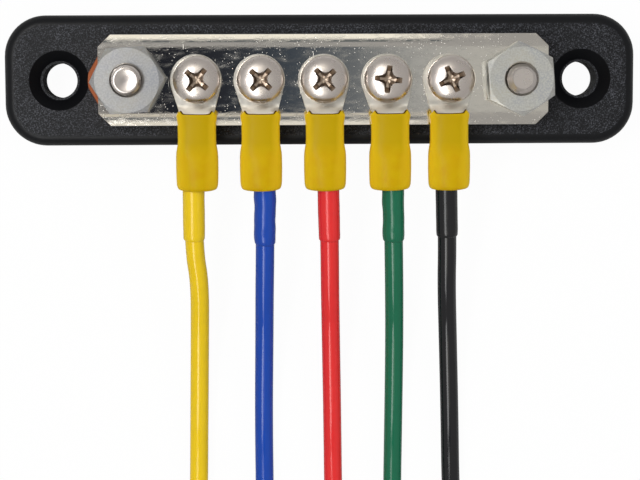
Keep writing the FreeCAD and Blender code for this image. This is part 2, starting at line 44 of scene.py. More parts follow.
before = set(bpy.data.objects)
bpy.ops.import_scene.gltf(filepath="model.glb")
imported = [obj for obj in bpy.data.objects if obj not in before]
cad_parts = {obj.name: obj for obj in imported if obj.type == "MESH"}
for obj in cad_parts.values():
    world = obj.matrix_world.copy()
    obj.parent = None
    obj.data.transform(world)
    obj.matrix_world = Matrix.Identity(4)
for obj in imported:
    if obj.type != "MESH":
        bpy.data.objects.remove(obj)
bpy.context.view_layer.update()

MM = 0.001
ROOT = "bus_bar"
LEAD_COLOURS = ("yellow", "blue", "red", "green", "black")

# The sockets of a Mix node that joins colours: the second one's share, the two, and the result.
SHARE, FIRST, SECOND, MIXED = 0, 6, 7, 2


def centre_of(node):
    """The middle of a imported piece's box."""
    low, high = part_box(node)
    return (low + high) / 2


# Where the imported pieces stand. The mounting holes are 11.15 mm in from the base's ends.
BASE_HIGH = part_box("base")[1]
BAR_LOW, BAR_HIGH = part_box("bar")
STUD_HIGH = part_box("stud_left")[1]
SCREW_LOW, SCREW_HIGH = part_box("terminal_screw_1")
WASHER_LOW, WASHER_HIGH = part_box("lock_washer_1")
MOUNT_XS = [side * (BASE_HIGH.x - 11.15 * MM) for side in (-1, 1)]
STUD_XS = {side: centre_of("stud_" + side).x for side in ("left", "right")}
SCREW_XS = [centre_of("terminal_screw_%d" % (i + 1)).x for i in range(5)]

# How each terminal and its screw were left, from the left: turns in degrees, shifts in mm.
TERMINAL_TURNS = (-0.3, 0.2, 0.5, 0.7, 1.0)
RING_SHIFTS = (-0.3, -0.3, -0.05, -0.05, -0.25)
BARREL_SHIFTS = (0.25, 0.2, 0.05, 0.4, -0.3)
LEAD_SHIFTS = (-0.82, 0.79, 0.53, 0.49, -0.62)
SCREW_TURNS = (50.5, 47.3, 41.4, 84.0, 24.0)
WASHER_TURNS = (232.0, 118.0, 75.0, 305.0, 222.0)

# A terminal's own frame has its origin at the ring's middle, on the bar's top. Its barrel
# starts at the front point and runs back and down.
BARREL_TILT = math.radians(10.0)
BARREL_FRONT = Vector((0.0, -5.5, 2.85)) * MM
BARREL_WAY = Vector((0.0, -math.cos(BARREL_TILT), -math.sin(BARREL_TILT)))
BARREL_UP = Vector((0.0, -math.sin(BARREL_TILT), math.cos(BARREL_TILT)))

# The leads' routes in metres, as in the part: where each collar ends, and then the points of
# the wire's own spline from behind the collar to its stripped end.
COLLAR_ENDS = (
    (-0.02592, -0.0323, 0.0111),
    (-0.01155, -0.0332, 0.0109),
    (0.00157, -0.0325, 0.0110),
    (0.01464, -0.0327, 0.0110),
    (0.02554, -0.0318, 0.0112),
)
WIRE_POINTS = (
    (
        (-0.02495, -0.0414, 0.0087), (-0.02525, -0.0540, 0.0044), (-0.02560, -0.0700, 0.0019),
        (-0.02590, -0.0900, 0.0019), (-0.02700, -0.1105, 0.0019), (-0.02940, -0.1295, 0.0019),
    ),
    (
        (-0.01173, -0.0433, 0.0084), (-0.01186, -0.0550, 0.0043), (-0.01210, -0.0710, 0.0019),
        (-0.01195, -0.0910, 0.0019), (-0.01285, -0.1120, 0.0019), (-0.01255, -0.1315, 0.0019),
    ),
    (
        (0.00171, -0.0426, 0.0085), (0.00200, -0.0543, 0.0043), (0.00230, -0.0702, 0.0019),
        (0.00245, -0.0895, 0.0019), (0.00335, -0.1088, 0.0019), (0.00325, -0.1275, 0.0019),
    ),
    (
        (0.01492, -0.0428, 0.0085), (0.01522, -0.0545, 0.0043), (0.01516, -0.0706, 0.0019),
        (0.01481, -0.0910, 0.0019), (0.01571, -0.1115, 0.0019), (0.01801, -0.1305, 0.0019),
    ),
    (
        (0.02568, -0.0419, 0.0087), (0.02638, -0.0536, 0.0044), (0.02702, -0.0698, 0.0019),
        (0.02732, -0.0894, 0.0019), (0.02912, -0.1090, 0.0019), (0.03182, -0.1278, 0.0019),
    ),
)
COLLAR_ALONG = 10.1 * MM  # from the barrel's front to the collar's start
COLLAR_SOCKET = 4.0 * MM  # how far the wire goes into its collar
WIRE_OUT = 2.6 * MM  # where the wire's spline has its first point beyond the collar


def linear(code):
    """An sRGB hex colour as linear red, green and blue."""
    channels = [int(code[i : i + 2], 16) / 255 for i in (1, 3, 5)]
    return tuple(c / 12.92 if c <= 0.04045 else ((c + 0.055) / 1.055) ** 2.4 for c in channels)


def toned(colour, factors):
    """A colour with its red, green and blue each made stronger or weaker."""
    return tuple(min(1.0, c * f) for c, f in zip(colour, factors))


def per_metre(millimetres):
    """The texture scale that gives features of this size."""
    return 1.0 / (millimetres * MM)


class BusBarSizes(bpy.types.PropertyGroup):
    """Sizes of the small forms that the dressed pieces add to the part"""

    edge_break: FloatProperty(
        name="Edge break", description="Width of the rounding on sheared metal edges",
        default=0.12 * MM, unit="LENGTH", subtype="DISTANCE",
    )
    stud_pitch: FloatProperty(
        name="Stud pitch", description="Rise of the stud's thread in one turn",
        default=1.0 * MM, unit="LENGTH", subtype="DISTANCE",
    )
    screw_pitch: FloatProperty(
        name="Screw pitch", description="Rise of the terminal screws' thread in one turn",
        default=0.8 * MM, unit="LENGTH", subtype="DISTANCE",
    )
    wire_diameter: FloatProperty(
        name="Wire diameter", description="Over the insulation",
        default=3.8 * MM, unit="LENGTH", subtype="DISTANCE",
    )
    strand_diameter: FloatProperty(
        name="Strand diameter", description="One copper strand of the wires",
        default=0.46 * MM, unit="LENGTH", subtype="DISTANCE",
    )


class BusBarColours(bpy.types.PropertyGroup):
    """Colours of the bus bar's plastics"""

    base: FloatVectorProperty(
        name="Base", description="Moulded base", subtype="COLOR", size=3, min=0, max=1,
        default=linear("#111215"),
    )
    sleeve: FloatVectorProperty(
        name="Sleeves", description="Vinyl sleeves of the ring terminals", subtype="COLOR", size=3,
        min=0, max=1, default=linear("#D0AC06"),
    )
    yellow: FloatVectorProperty(
        name="Yellow lead", description="Insulation", subtype="COLOR", size=3, min=0, max=1,
        default=linear("#F2CC08"),
    )
    blue: FloatVectorProperty(
        name="Blue lead", description="Insulation", subtype="COLOR", size=3, min=0, max=1,
        default=linear("#0A45AE"),
    )
    red: FloatVectorProperty(
        name="Red lead", description="Insulation", subtype="COLOR", size=3, min=0, max=1,
        default=linear("#EA2C2C"),
    )
    green: FloatVectorProperty(
        name="Green lead", description="Insulation", subtype="COLOR", size=3, min=0, max=1,
        default=linear("#0E6A4A"),
    )
    black: FloatVectorProperty(
        name="Black lead", description="Insulation", subtype="COLOR", size=3, min=0, max=1,
        default=linear("#17171A"),
    )


def add_node(tree, kind, settings=None, links=None):
    """Adds a node. Settings are its own values, or its inputs' by name or number, a colour's
    without alpha, and links join its inputs."""
    node = tree.nodes.new(kind)
    for key, value in (settings or {}).items():
        if isinstance(key, int) or key in node.inputs:
            socket = node.inputs[key]
            socket.default_value = (*value, 1.0) if socket.type == "RGBA" else value
        else:
            setattr(node, key, value)
    for key, source in (links or {}).items():
        tree.links.new(source, node.inputs[key])
    return node


def start_material(name, colour, metallic, roughness):
    """A material with its shader, and the coordinates that its patterns read."""
    material = bpy.data.materials.new(name)
    material.use_nodes = True
    tree = material.node_tree
    shader = tree.nodes["Principled BSDF"]
    shader.inputs["Base Color"].default_value = (*colour, 1.0)
    shader.inputs["Metallic"].default_value = metallic
    shader.inputs["Roughness"].default_value = roughness
    place = add_node(tree, "ShaderNodeTexCoord").outputs["Object"]
    return material, tree, shader, place


def moulded_nylon(name, colour, shine):
    # Glass-filled nylon, injection moulded: black, with a spark-eroded texture on its flat top. Grey-blue
    # glints painted into the top's colour stand in for the light that this texture catches. Everywhere else
    # the nylon is smoother and darker, with no painted glints. The texture is drawn coarser than it is, at
    # 0.26 mm, so that it shows.
    material, tree, shader, place = start_material(name, colour, 0.0, 0.42)
    shader.inputs["Specular IOR Level"].default_value = shine
    normal = add_node(tree, "ShaderNodeTexCoord").outputs["Normal"]
    facing = add_node(tree, "ShaderNodeSeparateXYZ", {}, {"Vector": normal})
    top = add_node(
        tree, "ShaderNodeMapRange", {"From Min": 0.97, "From Max": 0.995}, {"Value": facing.outputs["Z"]},
    )
    fleck = add_node(
        tree, "ShaderNodeTexNoise", {"Scale": per_metre(0.26), "Detail": 3.0, "Roughness": 0.75},
        {"Vector": place},
    )
    painted_glints = add_node(
        tree, "ShaderNodeMapRange", {"From Min": 0.5, "From Max": 0.68}, {"Value": fleck.outputs["Fac"]},
    )
    patch = add_node(tree, "ShaderNodeTexNoise", {"Scale": per_metre(9.0), "Detail": 3.0}, {"Vector": place})
    cloud = add_node(
        tree, "ShaderNodeMapRange", {"From Min": 0.3, "From Max": 0.7, "To Min": 0.45},
        {"Value": patch.outputs["Fac"]},
    )
    clouded = add_node(
        tree, "ShaderNodeMath", {"operation": "MULTIPLY"},
        {0: painted_glints.outputs["Result"], 1: cloud.outputs["Result"]},
    )
    painted_glints_on_top = add_node(
        tree, "ShaderNodeMath", {"operation": "MULTIPLY"},
        {0: clouded.outputs["Value"], 1: top.outputs["Result"]},
    )
    # Painted glints: where the specks fall on the top, the colour is lifted towards a grey-blue.
    tint = add_node(
        tree, "ShaderNodeMix", {"data_type": "RGBA", FIRST: colour, SECOND: linear("#64666E")},
        {SHARE: painted_glints_on_top.outputs["Value"]},
    )
    tree.links.new(tint.outputs[MIXED], shader.inputs["Base Color"])
    dull = add_node(
        tree, "ShaderNodeMapRange", {"To Min": 0.36, "To Max": 0.5}, {"Value": top.outputs["Result"]},
    )
    tree.links.new(dull.outputs["Result"], shader.inputs["Roughness"])
    skin = add_node(
        tree, "ShaderNodeBump", {"Distance": 0.04 * MM},
        {"Height": fleck.outputs["Fac"], "Strength": top.outputs["Result"]},
    )
    tree.links.new(skin.outputs["Normal"], shader.inputs["Normal"])
    return material


def specks(tree, place, size, radius, kept, turn=0.0, stretch=1.0):
    """A mask of scattered specks, or of short scratches where they are stretched. Size is the
    distance between them and radius their own, in mm, and kept the share that shows."""
    laid = add_node(
        tree, "ShaderNodeMapping", {"Rotation": (0.0, 0.0, turn), "Scale": (1.0, stretch, 1.0)},
        {"Vector": place},
    )
    cells = add_node(
        tree, "ShaderNodeTexVoronoi", {"Scale": per_metre(size)}, {"Vector": laid.outputs["Vector"]},
    )
    dot = add_node(
        tree, "ShaderNodeMapRange",
        {"From Min": 0.5 * radius / size, "From Max": radius / size, "To Min": 1.0, "To Max": 0.0},
        {"Value": cells.outputs["Distance"]},
    )
    chance = add_node(tree, "ShaderNodeSeparateColor", {}, {"Color": cells.outputs["Color"]})
    chosen = add_node(
        tree, "ShaderNodeMath", {"operation": "LESS_THAN", 1: kept}, {0: chance.outputs["Red"]},
    )
    mask = add_node(
        tree, "ShaderNodeMath", {"operation": "MULTIPLY"},
        {0: dot.outputs["Result"], 1: chosen.outputs["Value"]},
    )
    return mask.outputs["Value"]


def bright_tin_plate():
    # Tin plate on rolled copper bar, bright: a near mirror with a warm white tone. Pits, short
    # oblique scratches from handling and a haze drawn out along the bar scatter the light.
    material, tree, shader, place = start_material("bright_tin_plate", linear("#DCD8D0"), 1.0, 0.08)
    drawn = add_node(tree, "ShaderNodeMapping", {"Scale": (0.35, 1.0, 1.0)}, {"Vector": place})
    veil = add_node(
        tree, "ShaderNodeTexNoise", {"Scale": per_metre(1.1), "Detail": 5.0, "Roughness": 0.7},
        {"Vector": drawn.outputs["Vector"]},
    )
    haze = add_node(
        tree, "ShaderNodeMapRange", {"From Min": 0.47, "From Max": 0.75, "To Max": 0.42},
        {"Value": veil.outputs["Fac"]},
    )
    marks = haze.outputs["Result"]
    for layer in (
        specks(tree, place, 0.5, 0.09, 0.5),
        specks(tree, place, 1.7, 0.17, 0.35),
        specks(tree, place, 0.8, 0.07, 0.4, turn=0.7, stretch=0.07),
        specks(tree, place, 1.1, 0.07, 0.4, turn=1.05, stretch=0.05),
        specks(tree, place, 1.0, 0.06, 0.4, turn=-0.5, stretch=0.06),
    ):
        both = add_node(tree, "ShaderNodeMath", {"operation": "MAXIMUM"}, {0: marks, 1: layer})
        marks = both.outputs["Value"]
    smear = add_node(tree, "ShaderNodeTexNoise", {"Scale": per_metre(5.0), "Detail": 5.0}, {"Vector": place})
    sheen = add_node(
        tree, "ShaderNodeMapRange", {"From Min": 0.35, "From Max": 0.7, "To Min": 0.03, "To Max": 0.08},
        {"Value": smear.outputs["Fac"]},
    )
    rough = add_node(
        tree, "ShaderNodeMapRange", {"To Max": 0.62}, {"Value": marks, "To Min": sheen.outputs["Result"]},
    )
    tree.links.new(rough.outputs["Result"], shader.inputs["Roughness"])
    pits = add_node(
        tree, "ShaderNodeBump", {"Strength": 0.5, "Distance": 0.03 * MM, "invert": True}, {"Height": marks},
    )
    tree.links.new(pits.outputs["Normal"], shader.inputs["Normal"])
    return material


def sheared_copper():
    # The bar's cut ends: copper drawn over with a smear of tin, so warm and streaked downwards.
    material, tree, shader, place = start_material("sheared_copper", linear("#C98E6A"), 1.0, 0.3)
    streak = add_node(tree, "ShaderNodeMapping", {"Scale": (1.0, 1.0, 0.15)}, {"Vector": place})
    smear = add_node(
        tree, "ShaderNodeTexNoise", {"Scale": per_metre(0.8), "Detail": 3.0},
        {"Vector": streak.outputs["Vector"]},
    )
    share = add_node(
        tree, "ShaderNodeMapRange", {"From Min": 0.4, "From Max": 0.6}, {"Value": smear.outputs["Fac"]},
    )
    tint = add_node(
        tree, "ShaderNodeMix", {"data_type": "RGBA", FIRST: linear("#C48360"), SECOND: linear("#D3C6B6")},
        {SHARE: share.outputs["Result"]},
    )
    tree.links.new(tint.outputs[MIXED], shader.inputs["Base Color"])
    return material


def zinc_plate(name, centre, colour, roughness):
    # Zinc plate on a turned and faced nut: satin grey with a faint blue and straw cast, and
    # rings round its axis from facing. Rings and grain are drawn coarser than they are, so that
    # they show.
    material, tree, shader, place = start_material(name, colour, 1.0, roughness)
    middle = add_node(tree, "ShaderNodeMapping", {"Location": (-centre, 0.0, 0.0)}, {"Vector": place})
    rings = add_node(
        tree, "ShaderNodeTexWave",
        {
            "wave_type": "RINGS", "rings_direction": "Z", "Scale": per_metre(1.3), "Distortion": 2.5,
            "Detail": 2.0, "Detail Scale": per_metre(1.111),
        },
        {"Vector": middle.outputs["Vector"]},
    )
    cast = add_node(tree, "ShaderNodeTexNoise", {"Scale": per_metre(4.0), "Detail": 2.0}, {"Vector": place})
    cast_share = add_node(
        tree, "ShaderNodeMapRange", {"From Min": 0.35, "From Max": 0.65}, {"Value": cast.outputs["Fac"]},
    )
    cool, straw = toned(colour, (0.93, 0.95, 1.02)), toned(colour, (1.08, 1.05, 0.98))
    tint = add_node(
        tree, "ShaderNodeMix", {"data_type": "RGBA", FIRST: cool, SECOND: straw},
        {SHARE: cast_share.outputs["Result"]},
    )
    grain = add_node(tree, "ShaderNodeTexNoise", {"Scale": per_metre(0.36), "Detail": 3.0}, {"Vector": place})
    grain_share = add_node(
        tree, "ShaderNodeMapRange", {"From Min": 0.4, "From Max": 0.65}, {"Value": grain.outputs["Fac"]},
    )
    flecked = add_node(
        tree, "ShaderNodeMix", {"data_type": "RGBA", SECOND: toned(colour, (1.2, 1.2, 1.2))},
        {SHARE: grain_share.outputs["Result"], FIRST: tint.outputs[MIXED]},
    )
    tree.links.new(flecked.outputs[MIXED], shader.inputs["Base Color"])
    rough = add_node(
        tree, "ShaderNodeMapRange", {"To Min": roughness - 0.02, "To Max": roughness + 0.03},
        {"Value": rings.outputs["Fac"]},
    )
    tree.links.new(rough.outputs["Result"], shader.inputs["Roughness"])
    turned = add_node(
        tree, "ShaderNodeBump", {"Strength": 0.06, "Distance": 0.02 * MM}, {"Height": rings.outputs["Fac"]},
    )
    tree.links.new(turned.outputs["Normal"], shader.inputs["Normal"])
    return material


def plated_metal(name, colour, roughness, spread, mark_size, mark_depth):
    # Plated or bare metal with an even finish: soft smears in its gloss and faint dents from
    # the barrel that it was plated or tumbled in. The marks' size and depth are in mm.
    material, tree, shader, place = start_material(name, colour, 1.0, roughness)
    smear = add_node(
        tree, "ShaderNodeTexNoise", {"Scale": per_metre(mark_size), "Detail": 3.0}, {"Vector": place},
    )
    rough = add_node(
        tree, "ShaderNodeMapRange",
        {"From Min": 0.35, "From Max": 0.65, "To Min": roughness, "To Max": roughness + spread},
        {"Value": smear.outputs["Fac"]},
    )
    tree.links.new(rough.outputs["Result"], shader.inputs["Roughness"])
    dents = add_node(
        tree, "ShaderNodeBump", {"Strength": 0.3, "Distance": mark_depth * MM},
        {"Height": smear.outputs["Fac"]},
    )
    tree.links.new(dents.outputs["Normal"], shader.inputs["Normal"])
    return material


def nickel_in_recess():
    # Nickel inside the driver's recess, brown: painted shade makes it nearly black on the steep sides, which
    # shade each other, and it is paler on the level floor, where the brown tone varies at random.
    material, tree, shader, place = start_material("nickel_in_recess", linear("#A08A78"), 1.0, 0.34)
    normal = add_node(tree, "ShaderNodeTexCoord").outputs["Normal"]
    facing = add_node(tree, "ShaderNodeSeparateXYZ", {}, {"Vector": normal})
    level = add_node(tree, "ShaderNodeMath", {"operation": "ABSOLUTE"}, {0: facing.outputs["Z"]})
    # Painted shade: steep walls get the near-black brown, level faces the pale one.
    share = add_node(
        tree, "ShaderNodeMapRange", {"From Min": 0.25, "From Max": 0.7}, {"Value": level.outputs["Value"]},
    )
    grime = add_node(tree, "ShaderNodeTexNoise", {"Scale": per_metre(0.4), "Detail": 2.0}, {"Vector": place})
    pale = add_node(
        tree, "ShaderNodeMix", {"data_type": "RGBA", FIRST: linear("#A8927E"), SECOND: linear("#DCCBB9")},
        {SHARE: grime.outputs["Fac"]},
    )
    tint = add_node(
        tree, "ShaderNodeMix", {"data_type": "RGBA", FIRST: linear("#3E2C20")},
        {SHARE: share.outputs["Result"], SECOND: pale.outputs[MIXED]},
    )
    tree.links.new(tint.outputs[MIXED], shader.inputs["Base Color"])
    return material


def soft_vinyl(name, colour):
    # Plasticised vinyl sleeve, extruded and squeezed: satin and a little translucent, with a faint golden
    # mottle. Painted shade darkens it over the flattened crimp, and a painted sheen makes its sides paler.
    material, tree, shader, place = start_material(name, colour, 0.0, 0.34)
    shader.inputs["Specular IOR Level"].default_value = 0.08
    shader.inputs["Subsurface Weight"].default_value = 0.12
    shader.inputs["Subsurface Scale"].default_value = 0.6 * MM
    shader.inputs["Subsurface Radius"].default_value = (1.0, 0.6, 0.1)
    mottle = add_node(tree, "ShaderNodeTexNoise", {"Scale": per_metre(2.6), "Detail": 2.0}, {"Vector": place})
    mottle_share = add_node(
        tree, "ShaderNodeMapRange", {"From Min": 0.35, "From Max": 0.65}, {"Value": mottle.outputs["Fac"]},
    )
    tint = add_node(
        tree, "ShaderNodeMix",
        {"data_type": "RGBA", FIRST: colour, SECOND: toned(colour, (0.97, 0.9, 0.8))},
        {SHARE: mottle_share.outputs["Result"]},
    )
    # Painted shade: the colour is darkened forward of Y = -12.5 mm, over the flattened crimp, fading out by Y
    # = -15.5 mm.
    along = add_node(tree, "ShaderNodeSeparateXYZ", {}, {"Vector": place})
    crimp_shade_share = add_node(
        tree, "ShaderNodeMapRange", {"From Min": -15.5 * MM, "From Max": -12.5 * MM},
        {"Value": along.outputs["Y"]},
    )
    crimp_shaded = add_node(
        tree, "ShaderNodeMix", {"data_type": "RGBA", SECOND: toned(colour, (0.86, 0.87, 0.95))},
        {SHARE: crimp_shade_share.outputs["Result"], FIRST: tint.outputs[MIXED]},
    )
    # Painted sheen: faces turned sideways get a paler, whiter colour, in place of the pale room that they
    # reflect.
    normal = add_node(tree, "ShaderNodeTexCoord").outputs["Normal"]
    facing = add_node(tree, "ShaderNodeSeparateXYZ", {}, {"Vector": normal})
    sideways = add_node(tree, "ShaderNodeMath", {"operation": "ABSOLUTE"}, {0: facing.outputs["X"]})
    sheen_at_side = add_node(
        tree, "ShaderNodeMapRange", {"From Min": 0.25, "From Max": 0.9}, {"Value": sideways.outputs["Value"]},
    )
    painted_side_sheen = add_node(
        tree, "ShaderNodeMix", {"data_type": "RGBA", SECOND: toned(colour, (1.38, 1.4, 9.0))},
        {SHARE: sheen_at_side.outputs["Result"], FIRST: crimp_shaded.outputs[MIXED]},
    )
    tree.links.new(painted_side_sheen.outputs[MIXED], shader.inputs["Base Color"])
    skin = add_node(tree, "ShaderNodeTexNoise", {"Scale": per_metre(0.6), "Detail": 2.0}, {"Vector": place})
    bump = add_node(
        tree, "ShaderNodeBump", {"Strength": 0.2, "Distance": 0.02 * MM}, {"Height": skin.outputs["Fac"]},
    )
    tree.links.new(bump.outputs["Normal"], shader.inputs["Normal"])
    return material


def glossy_vinyl(name, colour, roughness, waviness):
    # Extruded wire insulation or shrunk tube: glossy plasticised vinyl with a slight orange
    # peel, which breaks up the long highlight.
    material, tree, shader, place = start_material(name, colour, 0.0, roughness)
    peel = add_node(tree, "ShaderNodeTexNoise", {"Scale": per_metre(2.4), "Detail": 1.0}, {"Vector": place})
    share = add_node(
        tree, "ShaderNodeMapRange", {"From Min": 0.4, "From Max": 0.6}, {"Value": peel.outputs["Fac"]},
    )
    tint = add_node(
        tree, "ShaderNodeMix",
        {"data_type": "RGBA", FIRST: colour, SECOND: toned(colour, (0.97, 0.97, 0.97))},
        {SHARE: share.outputs["Result"]},
    )
    tree.links.new(tint.outputs[MIXED], shader.inputs["Base Color"])
    bump = add_node(
        tree, "ShaderNodeBump", {"Strength": waviness, "Distance": 0.012 * MM},
        {"Height": peel.outputs["Fac"]},
    )
    tree.links.new(bump.outputs["Normal"], shader.inputs["Normal"])
    return material


def mesh_from(bm, name, smooth_angle=35.0):
    """A mesh with merged points, outward faces, and edges sharper than the angle kept sharp."""
    bmesh.ops.remove_doubles(bm, verts=bm.verts, dist=0.0005 * MM)
    bmesh.ops.recalc_face_normals(bm, faces=bm.faces)
    mesh = bpy.data.meshes.new(name)
    bm.to_mesh(mesh)
    bm.free()
    mesh.shade_smooth()
    mesh.set_sharp_from_angle(angle=math.radians(smooth_angle))
    return mesh


def piece(name, mesh, materials, body, nodes):
    """A finished piece that stands for CAD nodes and rides on a body."""
    obj = bpy.data.objects.new(name, mesh)
    for material in materials:
        obj.data.materials.append(material)
    bpy.context.collection.objects.link(obj)
    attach(obj, body)
    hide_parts(*nodes)
    return obj


def cad_copy(node, joined=True):
    """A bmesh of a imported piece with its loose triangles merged, and its flat faces joined."""
    bm = bmesh.new()
    bm.from_mesh(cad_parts[node].data)
    bmesh.ops.remove_doubles(bm, verts=bm.verts, dist=0.0005 * MM)
    if joined:
        bmesh.ops.dissolve_limit(
            bm, angle_limit=math.radians(0.4), verts=bm.verts, edges=bm.edges, delimit={"NORMAL"},
        )
    return bm


def cut_away(mesh, cutters):
    """A bmesh of the mesh with each cutter's bmesh taken away from it."""
    target = bpy.data.objects.new("boolean_target", mesh)
    bpy.context.collection.objects.link(target)
    helpers = []
    for cutter in cutters:
        bmesh.ops.recalc_face_normals(cutter, faces=cutter.faces)
        tool_mesh = bpy.data.meshes.new("boolean_tool")
        cutter.to_mesh(tool_mesh)
        cutter.free()
        tool = bpy.data.objects.new("boolean_tool", tool_mesh)
        bpy.context.collection.objects.link(tool)
        modifier = target.modifiers.new("cut", "BOOLEAN")
        modifier.operation = "DIFFERENCE"
        modifier.solver = "EXACT"
        modifier.object = tool
        helpers.append(tool)
    bpy.context.view_layer.update()
    graph = bpy.context.evaluated_depsgraph_get()
    bm = bmesh.new()
    bm.from_mesh(target.evaluated_get(graph).data)
    for obj in [target] + helpers:
        old = obj.data
        bpy.data.objects.remove(obj)
        bpy.data.meshes.remove(old)
    return bm


def extruded(bm, faces, offset):
    """Extrudes faces by an offset and returns the new points."""
    result = bmesh.ops.extrude_face_region(bm, geom=faces)
    verts = [item for item in result["geom"] if isinstance(item, bmesh.types.BMVert)]
    bmesh.ops.translate(bm, verts=verts, vec=offset)
    return verts


def rod(radius, low, high, x, segments):
    """A bmesh cylinder along Z between two heights, at x on the bar's middle line."""
    bm = bmesh.new()
    bmesh.ops.create_cone(
        bm, cap_ends=True, segments=segments, radius1=radius, radius2=radius, depth=high - low,
        matrix=Matrix.Translation((x, 0.0, (low + high) / 2)),
    )
    return bm


def spun(bm, points, steps):
    """Spins an open profile of (radius, height) points all the way round Z."""
    verts = [bm.verts.new((r, 0.0, z)) for r, z in points]
    edges = [bm.edges.new(pair) for pair in zip(verts, verts[1:])]
    bmesh.ops.spin(
        bm, geom=verts + edges, cent=(0, 0, 0), axis=(0, 0, 1), angle=math.tau, steps=steps, use_merge=True,
    )


def thread_into(bm, low, high, major, minor, pitch, steps):
    """A screw thread along Z between two heights, with its ends cut level and closed."""
    # One turn's outline: how far out, and at what share of the pitch.
    outline = (
        (minor, 0.0), (minor, 0.14), (major, 0.46), (major, 0.56), (minor, 0.88), (minor, 1.0),
    )
    turns = math.ceil((high - low) / pitch) + 2
    part = bmesh.new()
    start = low - pitch
    verts = [part.verts.new((r, 0.0, start + share * pitch)) for r, share in outline]
    edges = [part.edges.new(pair) for pair in zip(verts, verts[1:])]
    bmesh.ops.spin(
        part, geom=verts + edges, cent=(0, 0, 0), axis=(0, 0, 1), dvec=(0, 0, pitch / steps),
        angle=math.tau * turns, steps=steps * turns, use_merge=False,
    )
    near = 0.001 * MM
    bmesh.ops.remove_doubles(part, verts=part.verts, dist=near)
    for height, direction in ((low, -1), (high, 1)):
        bmesh.ops.bisect_plane(
            part, geom=[*part.verts, *part.edges, *part.faces],
            plane_co=(0, 0, height), plane_no=(0, 0, direction), clear_outer=True,
        )
        rim = [
            e for e in part.edges
            if e.is_boundary and all(abs(v.co.z - height) < near for v in e.verts)
        ]
        bmesh.ops.holes_fill(part, edges=rim, sides=0)
    mesh = bpy.data.meshes.new("thread")
    part.to_mesh(mesh)
    part.free()
    bm.from_mesh(mesh)
    bpy.data.meshes.remove(mesh)


def soften(obj, width, angle=40.0):
    """A small rounding on the sharp edges of a finished piece."""
    bevel = obj.modifiers.new("edge", "BEVEL")
    bevel.width = width
    bevel.segments = 2
    bevel.limit_method = "ANGLE"
    bevel.angle_limit = math.radians(angle)
    bevel.harden_normals = False
    normals = obj.modifiers.new("flat", "WEIGHTED_NORMAL")
    normals.keep_sharp = True


def terminal_place(i):
    """Where terminal i's own frame stands: at its screw, turned as its lead lies."""
    spot = Vector((SCREW_XS[i] + RING_SHIFTS[i] * MM, 0.0, BAR_HIGH.z))
    return Matrix.Translation(spot) @ Matrix.Rotation(math.radians(TERMINAL_TURNS[i]), 4, "Z")


def barrel_point(i, along):
    """A point on the axis of terminal i's barrel, in the terminal's own frame."""
    return BARREL_FRONT + BARREL_WAY * along + Vector((BARREL_SHIFTS[i] * MM, 0.0, 0.0))


